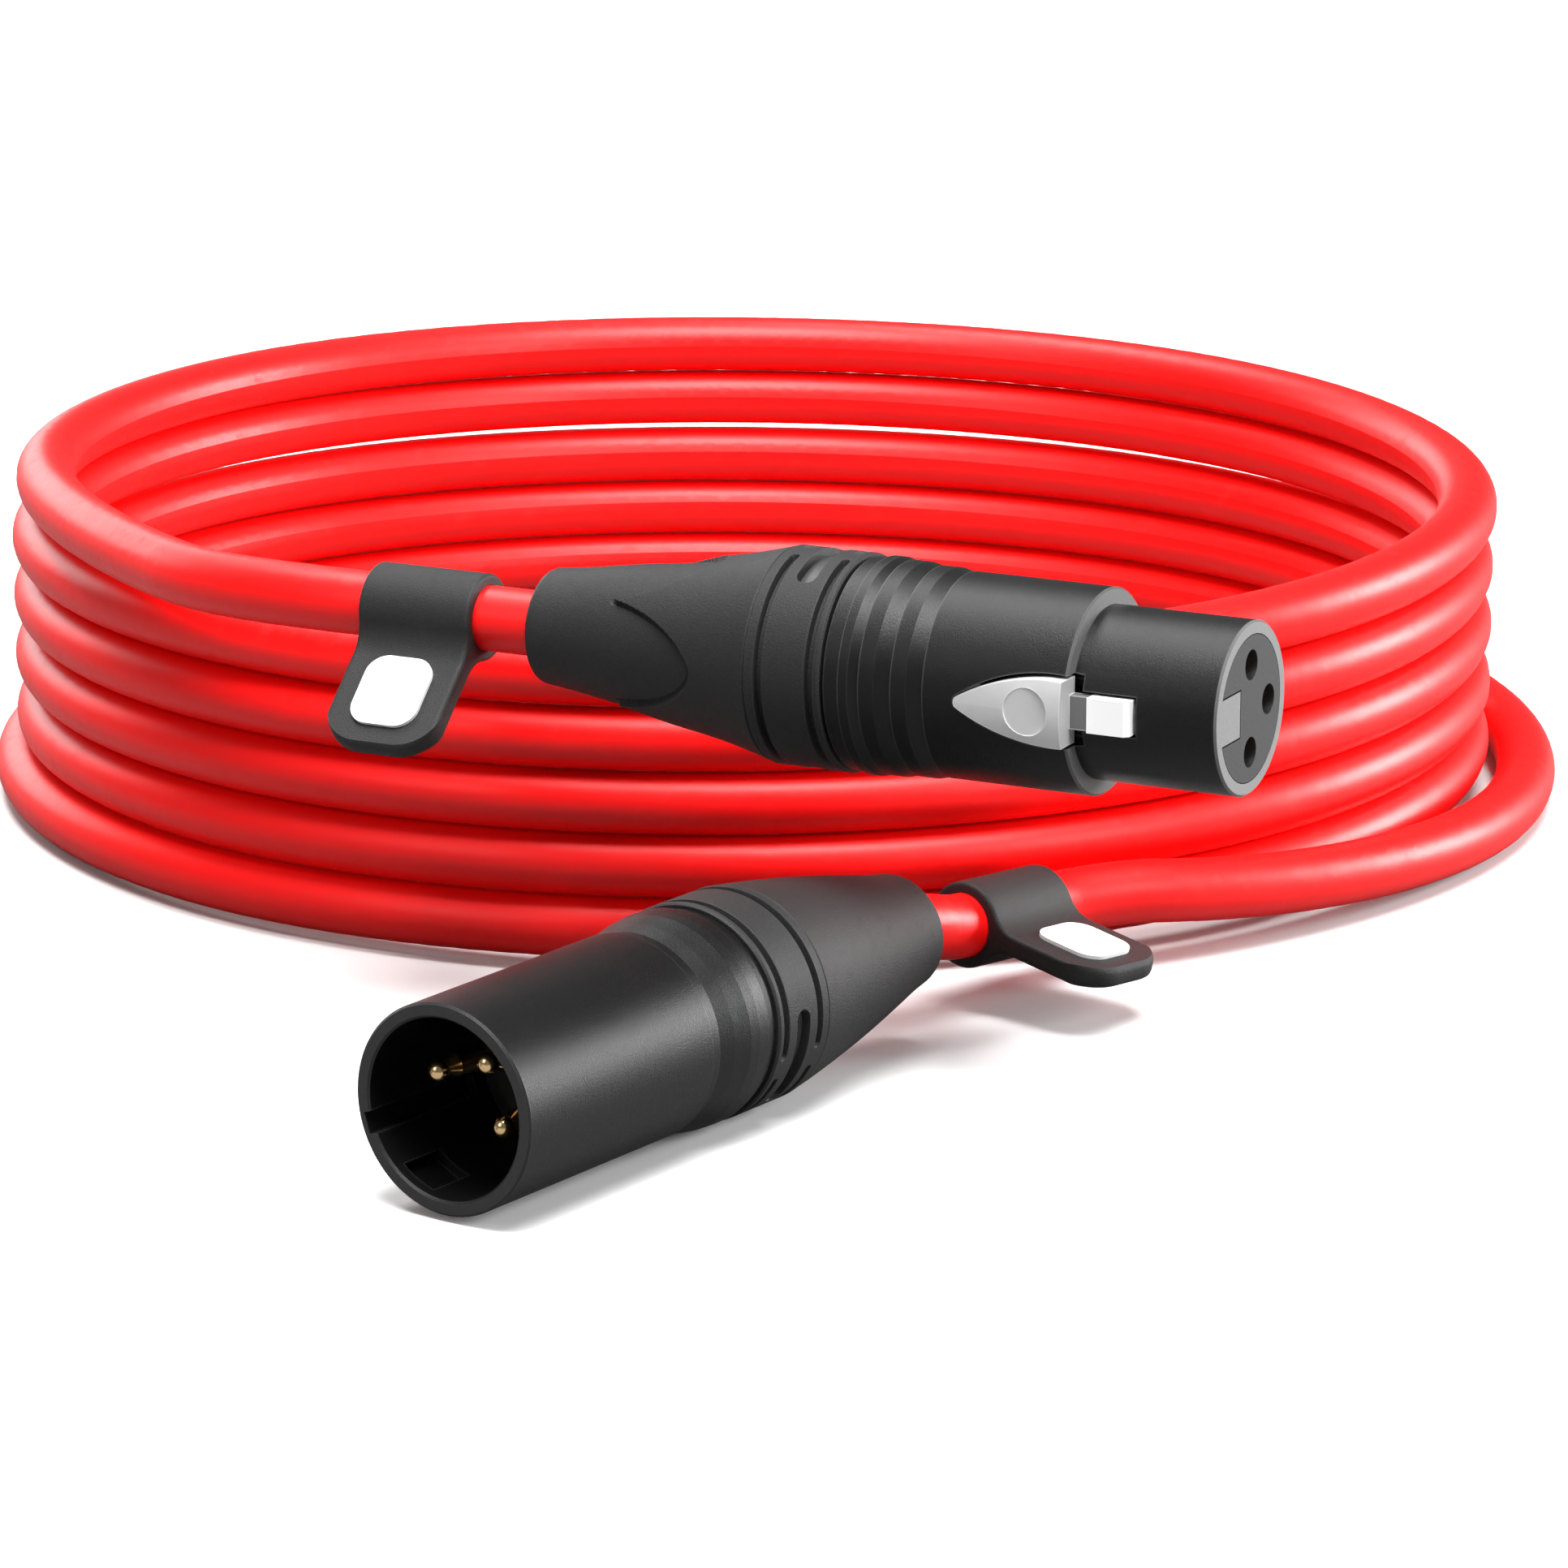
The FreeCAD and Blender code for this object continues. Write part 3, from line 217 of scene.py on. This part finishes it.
def rubber_material(name, level, grain_mm=0.16):
    """Matt moulded rubber with fine grain, cloudy tone and painted highlights on its edges."""
    surface = Surface(name)
    grain = surface.noise(grain_mm, 4.0, 0.6)
    cloud = surface.noise(6.0, 3.0)
    rub = surface.between(surface.noise(1.4, 4.0, 0.7), 0.5, 0.75)
    tone = surface.mix(cloud, grey(0.86 * level), grey(1.12 * level, (1.0, 1.0, 1.03)))
    speckle = surface.mix(surface.between(grain, 0.35, 0.75), tone, grey(1.45 * level))
    # painted highlight: the edges are mixed towards a much lighter grey
    edge_highlight = surface.calc("MULTIPLY", surface.edges(0.25), 0.5)
    surface.set("Base Color", surface.mix(edge_highlight, speckle, grey(3.2 * level)))
    uneven = surface.calc("ADD", grain, surface.calc("MULTIPLY", rub, 0.3))
    surface.set("Roughness", surface.ranged(uneven, 0.44, 0.66))
    surface.set("Specular IOR Level", 0.3)
    surface.bump((grain, 0.06), (cloud, 0.05))
    return surface.material


def shell_material(side):
    """Satin black metal with fine grain, painted highlights on its edges and a painted reflection in grey on the
    faces that look towards the mating end.
    """
    surface = Surface(side + "_shell_metal")
    grain = surface.noise(0.11, 3.0, 0.6)
    cloud = surface.noise(7.0, 3.0)
    depth = surface.behind_mating_end(side)
    facing = surface.node("ShaderNodeVectorMath", {
        0: surface.node("ShaderNodeNewGeometry").outputs["True Normal"],
        1: -CONNECTOR[side].to_3x3().col[2].normalized()}, operation="DOT_PRODUCT").outputs["Value"]
    # painted reflection: faces looking towards the mating end turn grey, on the female nose and, fainter, its
    # step, and in darker grey on the male rim
    front = surface.between(facing, 0.55, 0.9)
    if side == "female":
        nose = surface.calc("LESS_THAN", depth, NOSE_REFLECTION_BACK)
        step = surface.calc("MULTIPLY", surface.calc("GREATER_THAN", depth, STEP_REFLECTION_SPAN[0]),
                            surface.calc("LESS_THAN", depth, STEP_REFLECTION_SPAN[1]))
        painted_reflection_mask = surface.calc("ADD", nose, surface.calc("MULTIPLY", step, STEP_REFLECTION_SHARE))
        painted_reflection_mask = surface.calc("MULTIPLY", painted_reflection_mask, front)
        painted_reflection_tone = grey(0.24)
        edge_highlight_tone = grey(0.10)
    else:
        painted_reflection_mask = surface.calc("MULTIPLY", surface.calc("LESS_THAN", depth, RIM_REFLECTION_BACK), front)
        painted_reflection_tone = grey(0.030)
        edge_highlight_tone = grey(0.06)
    black = surface.mix(cloud, grey(0.0022), grey(0.0040, (1.0, 1.0, 1.04)))
    # painted highlight: the edges are mixed towards a lighter grey
    edge_highlight = surface.calc("MULTIPLY", surface.edges(0.22), 0.75)
    tone = surface.mix(edge_highlight, black, edge_highlight_tone)
    painted_reflection_colour = surface.mix(surface.noise(0.5, 4.0, 0.7), painted_reflection_tone, grey(painted_reflection_tone[0] * 0.82))
    surface.set("Base Color", surface.mix(painted_reflection_mask, tone, painted_reflection_colour))
    surface.set("Roughness", surface.ranged(surface.noise(0.25, 4.0, 0.65), 0.30, 0.44))
    surface.set("Specular IOR Level", 0.32)
    surface.bump((grain, 0.032), (surface.noise(0.9, 3.0), 0.010))
    return surface.material


def plastic_material(name, colour, roughness, grain_mm=0.3):
    """Moulded hard plastic with a faint orange-peel texture and cloudy colour."""
    surface = Surface(name)
    peel = surface.noise(grain_mm, 3.0)
    cloud = surface.noise(3.0, 3.0)
    dark = tuple(0.84 * part for part in colour[:3]) + (1.0,)
    light = tuple(min(1.0, 1.14 * part) for part in colour[:3]) + (1.0,)
    tone = surface.mix(cloud, dark, light)
    # painted highlight: the edges are mixed towards a lighter colour
    edge_highlight = tuple(min(1.0, 1.6 * part + 0.02) for part in colour[:3]) + (1.0,)
    surface.set("Base Color", surface.mix(surface.calc("MULTIPLY", surface.edges(0.12), 0.6), tone, edge_highlight))
    surface.set("Roughness", surface.ranged(peel, roughness - 0.07, roughness + 0.07))
    surface.bump((peel, 0.015))
    return surface.material


def metal_material(name, colour, roughness, scratch_mm=0.12, edge_light=0.0):
    """Bare or plated metal with drawn scratches, tarnish clouds and brighter edges."""
    surface = Surface(name)
    stretched = surface.node("ShaderNodeMapping", {
        "Vector": surface.object_place(), "Scale": (1.0, 1.0, 0.12)}).outputs["Vector"]
    scratch = surface.noise(scratch_mm, 4.0, 0.7, stretched)
    cloud = surface.noise(2.2, 3.0)
    dull = tuple(0.80 * part for part in colour[:3]) + (1.0,)
    tone = surface.mix(cloud, colour, dull)
    if edge_light > 0:
        tone = surface.mix(surface.calc("MULTIPLY", surface.edges(0.16), edge_light), tone, grey(0.98))
    surface.set("Base Color", tone)
    surface.set("Metallic", 1.0)
    surface.set("Roughness", surface.ranged(scratch, roughness - 0.06, roughness + 0.10))
    surface.bump((scratch, 0.004))
    return surface.material


def latch_material():
    """Satin cast silver with a painted reflection in near white on the hook, painted highlights round the paddle's
    edges and a painted shadow on the neck between hook and paddle.
    """
    surface = Surface("latch_satin_silver")
    grain = surface.noise(0.10, 4.0, 0.6)
    cloud = surface.noise(3.5, 3.0)
    depth = surface.behind_mating_end("female")
    # painted reflection: the hook is near white and not metallic
    hook_reflection = surface.calc("LESS_THAN", depth, HOOK_REFLECTION_BACK)
    # painted shadow: the neck between hook and paddle is dark grey
    neck_shadow = surface.calc("MULTIPLY", surface.calc("GREATER_THAN", depth, HOOK_REFLECTION_BACK),
                        surface.calc("LESS_THAN", depth, NECK_SHADOW_BACK))
    tone = surface.mix(cloud, grey(0.62), grey(0.72))
    tone = surface.mix(hook_reflection, tone, grey(0.98))
    tone = surface.mix(neck_shadow, tone, grey(0.18))
    # painted highlight: the edges round the paddle are near white
    rim_highlight = surface.calc("MULTIPLY", surface.edges(0.2), 0.85)
    surface.set("Base Color", surface.mix(rim_highlight, tone, grey(0.95)))
    surface.set("Metallic", surface.calc("SUBTRACT", 0.40, surface.calc("MULTIPLY", hook_reflection, 0.40)))
    surface.set("Roughness", surface.ranged(grain, 0.34, 0.48))
    surface.bump((grain, 0.008))
    return surface.material


def panel_material():
    """White raised print on rubber, slightly uneven."""
    surface = Surface("panel_white_ink")
    grain = surface.noise(0.2, 4.0)
    cloud = surface.noise(1.8, 3.0)
    tone = surface.mix(cloud, grey(0.80), grey(0.90))
    rubbed = surface.calc("MULTIPLY", surface.edges(0.15), 0.35)
    surface.set("Base Color", surface.mix(rubbed, tone, grey(0.55)))
    surface.set("Roughness", surface.ranged(grain, 0.42, 0.60))
    surface.bump((grain, 0.02))
    return surface.material


def floor_material():
    """A pale studio floor that throws back less light than it shows, as if black flags stood near it."""
    surface = Surface("studio_floor")
    cloud = surface.noise(60.0, 3.0)
    seen = surface.node("ShaderNodeLightPath").outputs["Is Camera Ray"]
    pale = surface.mix(cloud, grey(0.84), grey(0.88))
    surface.set("Base Color", surface.mix(seen, grey(0.18), pale))
    surface.set("Roughness", surface.ranged(surface.noise(0.8, 3.0), 0.6, 0.75))
    surface.set("Specular IOR Level", 0.2)
    surface.bump((surface.noise(0.8, 3.0), 0.01))
    return surface.material


def make_materials():
    """Every material, by the record's slot name or by piece."""
    return {
        "jacket": jacket_material(),
        "boot": rubber_material("boot_rubber", 0.0135),
        "tag": rubber_material("tag_rubber", 0.0135, 0.13),
        "panel": panel_material(),
        "female_shell": shell_material("female"),
        "male_shell": shell_material("male"),
        "female_insert": plastic_material("female_insert_plastic", grey(0.014), 0.5),
        "male_insert": plastic_material("male_insert_plastic", grey(0.03), 0.45),
        "nylon": plastic_material("nylon_plastic", grey(0.03), 0.48),
        "ring": plastic_material("coding_ring_plastic", grey(0.03), 0.5),
        "core_one": plastic_material("core_blue_pvc", (0.04, 0.11, 0.45, 1), 0.45),
        "core_two": plastic_material("core_white_pvc", grey(0.78), 0.45),
        "gold": metal_material("gold_plate", (1.0, 0.70, 0.36, 1), 0.16),
        "copper": metal_material("copper_braid", (0.85, 0.42, 0.25, 1), 0.36, 0.3),
        "spring_steel": metal_material("spring_steel", grey(0.62), 0.28),
        "latch": latch_material(),
    }


MATERIALS = make_materials()

CAD_FINISH = {
    "cable_jacket": "jacket",
    "cable_shield": "copper",
    "conductor_hot": "core_one",
    "conductor_cold": "core_two",
    "female_drain_tail": "copper",
    "male_drain_tail": "copper",
    "female_shell": "female_shell",
    "female_insert": "female_insert",
    "female_contacts": "gold",
    "female_earth_clip": "spring_steel",
    "female_latch_pin": "spring_steel",
    "female_latch_lever": "latch",
    "female_latch_spring": "spring_steel",
    "male_shell": "male_shell",
    "male_insert": "male_insert",
    "male_pins": "gold",
    "male_earth_clip": "spring_steel",
    "female_chuck": "nylon",
    "male_chuck": "nylon",
    "female_boot_nut": "nylon",
    "male_boot_nut": "nylon",
    "female_coding_ring": "ring",
    "male_coding_ring": "ring",
    "female_tag_panel": "panel",
    "male_tag_panel": "panel",
}


def finish_cad_nodes():
    """Give each carried-over CAD node its material."""
    for name, finish in CAD_FINISH.items():
        mesh = nodes[name].data
        mesh.materials.clear()
        mesh.materials.append(MATERIALS[finish])


# ---------------------------------------------------------------- mesh helpers


def skin(name, rings, place, closed=False):
    """A mesh object through rings of points given in mm in a frame, each ring joined to the next."""
    count = len(rings[0])
    points = [place @ Vector(point) for ring in rings for point in ring]
    faces = []
    last = len(rings) if closed else len(rings) - 1
    for row in range(last):
        near = row * count
        far = ((row + 1) % len(rings)) * count
        for index in range(count):
            after = (index + 1) % count
            faces.append((near + index, near + after, far + after, far + index))
    mesh = bpy.data.meshes.new(name)
    mesh.from_pydata(points, [], faces)
    mesh.validate()
    piece = bpy.data.objects.new(name, mesh)
    bpy.context.scene.collection.objects.link(piece)
    return piece


def dress(piece, finish, body, slot, *replaced):
    """Material, body and the CAD nodes that a new piece stands for."""
    piece.data.materials.append(MATERIALS[finish])
    piece.data.shade_smooth()
    piece.data.set_sharp_from_angle(angle=math.radians(SHARP_ANGLE))
    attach(piece, body)
    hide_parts(*replaced)
    return piece


# ---------------------------------------------------------------- boots

COLLAR_RADIUS = 10.12
COLLAR_END = 7.8
SEAM = 0.14
BOOT_LENGTH = 33.1
BOOT_BORE = 3.2
BOOT_FLARE = 0.7
FLARE_LENGTH = 7.0
BOOT_TURNS = 600
GROOVE_DEPTH = 0.65
WINDOW_FLOOR = 9.2
END_ROUNDING = 0.8

# the wavy raised layer round the female boot, in four lobes
SCALLOP_LIFT = 0.55
SCALLOP_BACK = 23.5
SCALLOP_SWING = 9.3
SCALLOP_HALF = 6.1
SCALLOP_TURN = -5.0
SCALLOP_RAMP = 0.18
SCALLOP_CREASE = 0.12
SCALLOP_ZONE = (12.0, 25.0)
SCALLOP_SHARE_STEP = 0.02
HALF_LOBE = 45.0
LOBE_FULLNESS = 1.7
LOBE_ROUNDING = 0.8

# soft edges of the slots and the front, and the hairline behind the collar
SLOT_EDGE = 0.16
FRONT_EDGE = 0.18
FRONT_SPAN = 0.2
HAIRLINE_DEPTH = 0.18
HAIRLINE_HALF = 0.14

# distances between a boot mesh's rows
COLLAR_ROW = 0.08
COLLAR_ROWS_PAST = 0.5
GRIP_ROW = 0.4
SCALLOP_ROW = 0.1
SLEEVE_ROW = 0.5
ROUNDING_ROW = 0.09

# (distance behind the shell, radius) down the cone of each boot, behind the collar
BOOT_SHAPE = {
    "female": [(7.8, 10.05), (11.05, 9.2), (13.75, 8.62), (16.55, 8.15), (20.05, 7.68), (22.65, 7.37),
               (25.05, 7.04), (29.15, 6.4), (32.3, 6.02), (33.1, 5.95)],
    "male": [(7.8, 10.05), (10.05, 9.8), (14.3, 9.15), (18.65, 8.4), (22.7, 7.6), (26.65, 6.75),
             (30.0, 6.0), (33.1, 5.45)],
}
# distance behind the shell and radius of the inside wall, from the cable end to the front
BOOT_INSIDE = [(BOOT_LENGTH, BOOT_BORE + BOOT_FLARE), (BOOT_LENGTH - FLARE_LENGTH, BOOT_BORE),
               (14.1, BOOT_BORE), (14.1, 6.55), (7.45, 7.15), (7.45, 8.95), (0.3, 8.95), (SEAM, 9.15)]

# slots cut in the collar: (middle angle, half span, distance behind the shell, half width, floor radius)
COLLAR_SLOTS = [(middle, 84.0, place, 0.35, COLLAR_RADIUS - GROOVE_DEPTH)
                for middle in (175.0, 355.0) for place in (1.25, 6.35)]
COLLAR_SLOTS += [(middle, 29.0, 3.8, 0.9, WINDOW_FLOOR) for middle in (85.0, 265.0)]


def cone_radius(shape, depth):
    """The radius on a smooth line through the cone's points."""
    index = max(i for i in range(len(shape) - 1) if i == 0 or shape[i][0] <= depth)
    before, after = shape[max(index - 1, 0)], shape[min(index + 2, len(shape) - 1)]
    (start, low), (end, high) = shape[index], shape[index + 1]
    span = end - start
    slope_in = (high - before[1]) / (end - before[0]) * span
    slope_out = (after[1] - low) / (after[0] - start) * span
    t = (depth - start) / span
    return ((2 * t ** 3 - 3 * t ** 2 + 1) * low + (t ** 3 - 2 * t ** 2 + t) * slope_in
            + (3 * t ** 2 - 2 * t ** 3) * high + (t ** 3 - t ** 2) * slope_out)


def slot_cut(angle, depth):
    """How far the collar's surface is sunk at one place."""
    cut = 0.0
    for middle, half_span, place, half_width, floor in COLLAR_SLOTS:
        if abs(depth - place) > half_width + SLOT_EDGE:
            continue
        away = abs((angle - middle + 180) % 360 - 180)
        run = math.radians(away) * COLLAR_RADIUS
        reach = math.radians(half_span) * COLLAR_RADIUS - half_width
        distance = math.hypot(max(run - reach, 0.0), depth - place) - half_width
        cut = max(cut, (COLLAR_RADIUS - floor) * (1 - smooth(0.5 + distance / SLOT_EDGE)))
    return cut


def scallop_reach(share):
    """How far back the raised layer's wavy edge lies, from a lobe's middle (0) to a tongue's tip (1)."""
    return SCALLOP_BACK - SCALLOP_SWING * (1 - share ** LOBE_FULLNESS) ** LOBE_ROUNDING


SCALLOP_EDGE = [(share * SCALLOP_HALF, scallop_reach(share))
                for share in steps(0.0, 1.0, SCALLOP_SHARE_STEP) + [1.0]]


@functools.lru_cache(maxsize=None)
def scallop_distance(share, depth):
    """The distance to the wavy edge: positive behind it, negative on the raised layer."""
    away = min(math.dist((share * SCALLOP_HALF, depth), point) for point in SCALLOP_EDGE)
    return away if depth > scallop_reach(share) else -away


def recess(angle, depth):
    """How far the female boot's surface is sunk behind the raised grip layer and in the crease round it."""
    share = abs((angle - SCALLOP_TURN + HALF_LOBE) % (2 * HALF_LOBE) - HALF_LOBE) / HALF_LOBE
    distance = scallop_distance(round(share, 4), depth)
    crease = max(0.0, 1 - abs(distance - SCALLOP_RAMP) / SCALLOP_RAMP)
    return SCALLOP_LIFT * smooth(0.5 + distance / SCALLOP_RAMP) + SCALLOP_CREASE * crease


def boot_radius(side, angle, depth):
    """The outside radius of a boot at one place."""
    if depth < COLLAR_END:
        radius = COLLAR_RADIUS - slot_cut(angle, depth)
    else:
        radius = cone_radius(BOOT_SHAPE[side], depth)
    if side == "female":
        radius -= recess(angle, depth)
    front_edge = FRONT_EDGE * (1 - smooth((depth - SEAM) / FRONT_SPAN))
    hairline = HAIRLINE_DEPTH * max(0.0, 1 - abs(depth - COLLAR_END) / HAIRLINE_HALF)
    into_end = max(0.0, (depth - BOOT_LENGTH) / END_ROUNDING + 1)
    back_edge = END_ROUNDING * (1 - math.sqrt(max(0.0, 1 - into_end ** 2)))
    return radius - front_edge - hairline - back_edge


def boot_depths(side):
    """Rows of the boot's outside, close together where there is fine detail."""
    sleeve_start = COLLAR_END + COLLAR_ROWS_PAST
    rows = steps(SEAM, sleeve_start, COLLAR_ROW)
    if side == "female":
        rows += steps(sleeve_start, SCALLOP_ZONE[0], GRIP_ROW) + steps(*SCALLOP_ZONE, SCALLOP_ROW)
        sleeve_start = SCALLOP_ZONE[1]
    rounding_start = BOOT_LENGTH - END_ROUNDING
    rows += steps(sleeve_start, rounding_start, SLEEVE_ROW)
    return rows + steps(rounding_start, BOOT_LENGTH, ROUNDING_ROW) + [BOOT_LENGTH]


def make_boot(side):
    """The rubber boot: collar with slots and windows, tapering sleeve, hollow inside."""
    end = SHELL_END[side]
    angles = [360.0 * index / BOOT_TURNS for index in range(BOOT_TURNS)]
    turns = [(math.cos(math.radians(angle)), math.sin(math.radians(angle))) for angle in angles]
    rings = []
    for depth in boot_depths(side):
        ring = []
        for angle, (across, along) in zip(angles, turns):
            radius = boot_radius(side, angle, depth)
            ring.append((radius * across, radius * along, end + depth))
        rings.append(ring)
    for depth, radius in BOOT_INSIDE:
        rings.append([(radius * across, radius * along, end + depth) for across, along in turns])
    piece = skin(side + "_boot_rubber", rings, CONNECTOR[side], closed=True)
    return dress(piece, "boot", side + "_boot_turner", "boot", side + "_boot")


# ---------------------------------------------------------------- tags

TAG_WIDTH = 11.8
TAG_REACH = 16.0
TAG_BAND = 4.15
TAG_HALF_PLATE = 1.0
TAG_CORNER = 4.0
TAG_FILLET = 3.6
TAG_ROUNDING = 0.4
TAG_ROW = 0.22
FLAG_STEP = 0.25
TURN_STEP = 0.05
ROUNDING_TURN = math.pi / 12
CORNER_MARGIN = 0.5
TAG_ANGLE = {"female": -43.0, "male": 252.0}
TAG_BORE = 3.16


def tag_place(side):
    """A tag's frame: Z along the cable, X out along the flag. The male one's face looks the other way."""
    joint = next(j for j in frame["joints"] if j["name"] == side + "_tag_turn")
    along = Vector(joint["axis"]).normalized()
    start = Vector(joint["pos_m"]) - along * TAG_WIDTH / 2 * MM
    turn = Matrix.Rotation(math.radians(TAG_ANGLE[side]), 4, "Z")
    place = axis_frame(start, along, side) @ turn
    if side == "male":
        place = place @ Matrix.Translation((0, 0, TAG_WIDTH)) @ Matrix.Rotation(math.pi, 4, "X")
    return place


def tag_outline():
    """The tag's outline across the cable: band, hollow fillets and flat flag, anticlockwise."""
    reach = TAG_BAND + TAG_FILLET
    rise = TAG_HALF_PLATE + TAG_FILLET
    run = math.sqrt(reach ** 2 - rise ** 2)
    meet = math.atan2(rise, run)
    face_end = TAG_REACH - TAG_ROUNDING
    upper = [(TAG_REACH, 0.0), (TAG_REACH, 0.4 * TAG_HALF_PLATE),
             (TAG_REACH - 0.3 * TAG_ROUNDING, 0.75 * TAG_HALF_PLATE), (face_end, TAG_HALF_PLATE)]
    upper += [(place, TAG_HALF_PLATE) for place in reversed(steps(run, face_end, FLAG_STEP)[1:])]
    for turn in steps(0.0, math.pi / 2 - meet, TURN_STEP):
        upper.append((run - TAG_FILLET * math.sin(turn), rise - TAG_FILLET * math.cos(turn)))
    for turn in steps(meet, math.pi, TURN_STEP):
        upper.append((TAG_BAND * math.cos(turn), TAG_BAND * math.sin(turn)))
    lower = [(across, -along) for across, along in reversed(upper[1:])]
    return upper + [(-TAG_BAND, 0.0)] + lower


def outline_normals(outline):
    """The outward direction at each point of an anticlockwise outline."""
    found = []
    for index, point in enumerate(outline):
        before = outline[index - 1]
        after = outline[(index + 1) % len(outline)]
        along = Vector((after[0] - before[0], after[1] - before[1])).normalized()
        found.append((along.y, -along.x))
    return found


def tag_rows():
    """(height along the cable, inset of the outline) for each row, with rounded ends."""
    low = [(TAG_ROUNDING * (1 - math.cos(turn)), TAG_ROUNDING * (1 - math.sin(turn)))
           for turn in steps(0.0, math.pi / 2, ROUNDING_TURN)]
    rows = low + [(height, 0.0) for height in steps(TAG_ROUNDING, TAG_WIDTH - TAG_ROUNDING, TAG_ROW)]
    return rows + [(TAG_WIDTH - height, inset) for height, inset in [(TAG_ROUNDING, 0.0)] + low[::-1]]


def flag_reach(height):
    """How far the flag reaches at a height, with its two outer corners rounded."""
    from_end = min(height, TAG_WIDTH - height)
    if from_end >= TAG_CORNER:
        return TAG_REACH
    return TAG_REACH - TAG_CORNER + math.sqrt(max(0.0, TAG_CORNER ** 2 - (TAG_CORNER - from_end) ** 2))


def make_tag(side):
    """The rubber write-on tag: one outline carried along the cable, with a bore for the jacket."""
    outline = tag_outline()
    normals = outline_normals(outline)
    flat = TAG_REACH - TAG_CORNER - CORNER_MARGIN
    rings = []
    for height, inset in tag_rows():
        scale = (flag_reach(height) - flat) / (TAG_REACH - flat)
        ring = []
        for (across, along), (out_x, out_y) in zip(outline, normals):
            kept = across if across < flat else flat + (across - flat) * scale
            ring.append((kept - inset * out_x, along - inset * out_y, height))
        rings.append(ring)
    bore = []
    for across, along in outline:
        turn = math.atan2(along, across)
        bore.append((TAG_BORE * math.cos(turn), TAG_BORE * math.sin(turn)))
    rings.append([(across, along, TAG_WIDTH) for across, along in bore])
    rings.append([(across, along, 0.0) for across, along in bore])
    piece = skin(side + "_tag_rubber", rings, tag_place(side), closed=True)
    return dress(piece, "tag", side + "_tag_swivel", "tag", side + "_tag")


# ---------------------------------------------------------------- studio


# places, sizes and clip distances are in metres, angles in degrees, the lens and sensor in millimetres
FLOOR_SIZE = 8.0
WORLD_LIGHT = 0.17
LIGHT_AIM = Vector((0.0, 0.0, 0.02))
CAMERA_PLACE = (0.0, -0.7073, 0.1862)
CAMERA_DIP = 14.84
CAMERA_TURN = -0.21
CAMERA_CLIP = (0.01, 50.0)
LENS = 156.2
SENSOR_WIDTH = 36.0


def make_floor():
    """The level surface that the coil lies on."""
    bpy.ops.mesh.primitive_plane_add(size=FLOOR_SIZE, location=(0, 0, 0))
    floor = bpy.context.active_object
    floor.name = "studio_floor"
    floor.data.materials.append(floor_material())


def soft_light(name, place, size, watts):
    """A rectangular area light that points at the coil."""
    lamp = bpy.data.lights.new(name, "AREA")
    lamp.shape = "RECTANGLE"
    lamp.size, lamp.size_y = size
    lamp.energy = watts
    holder = bpy.data.objects.new(name, lamp)
    holder.location = place
    holder.rotation_euler = (LIGHT_AIM - Vector(place)).to_track_quat("-Z", "Y").to_euler()
    bpy.context.scene.collection.objects.link(holder)


def make_lights():
    """A dim white world and six soft boxes."""
    world = bpy.data.worlds.new("studio_world")
    world.use_nodes = True
    background = world.node_tree.nodes["Background"]
    background.inputs["Color"].default_value = (1.0, 1.0, 1.0, 1.0)
    background.inputs["Strength"].default_value = WORLD_LIGHT
    bpy.context.scene.world = world
    soft_light("back_left_softbox", (-0.58, 0.90, 0.30), (0.75, 0.35), 4.2)
    soft_light("top_back_softbox", (-0.30, 0.42, 0.95), (0.5, 0.35), 7.0)
    soft_light("right_strip", (0.95, 0.30, 0.24), (0.30, 0.35), 12.0)
    soft_light("top_softbox", (0.05, -0.35, 1.00), (0.7, 0.5), 23.0)
    soft_light("left_softbox", (-0.80, -0.75, 0.62), (0.4, 0.5), 2.0)
    soft_light("right_softbox", (0.85, -0.75, 0.60), (0.4, 0.5), 6.0)


def make_camera():
    """The view of a long lens, low and level across the front of the coil."""
    lens = bpy.data.cameras.new("camera")
    lens.sensor_width = SENSOR_WIDTH
    lens.lens = LENS
    lens.clip_start, lens.clip_end = CAMERA_CLIP
    camera = bpy.data.objects.new("camera", lens)
    camera.location = CAMERA_PLACE
    camera.rotation_euler = (math.radians(90 - CAMERA_DIP), 0.0, math.radians(CAMERA_TURN))
    bpy.context.scene.collection.objects.link(camera)
    bpy.context.scene.camera = camera


# ---------------------------------------------------------------- build

finish_cad_nodes()
for connector in SHELL_END:
    make_boot(connector)
    make_tag(connector)
make_floor()
make_lights()
make_camera()
bpy.context.scene.view_settings.view_transform = "Standard"
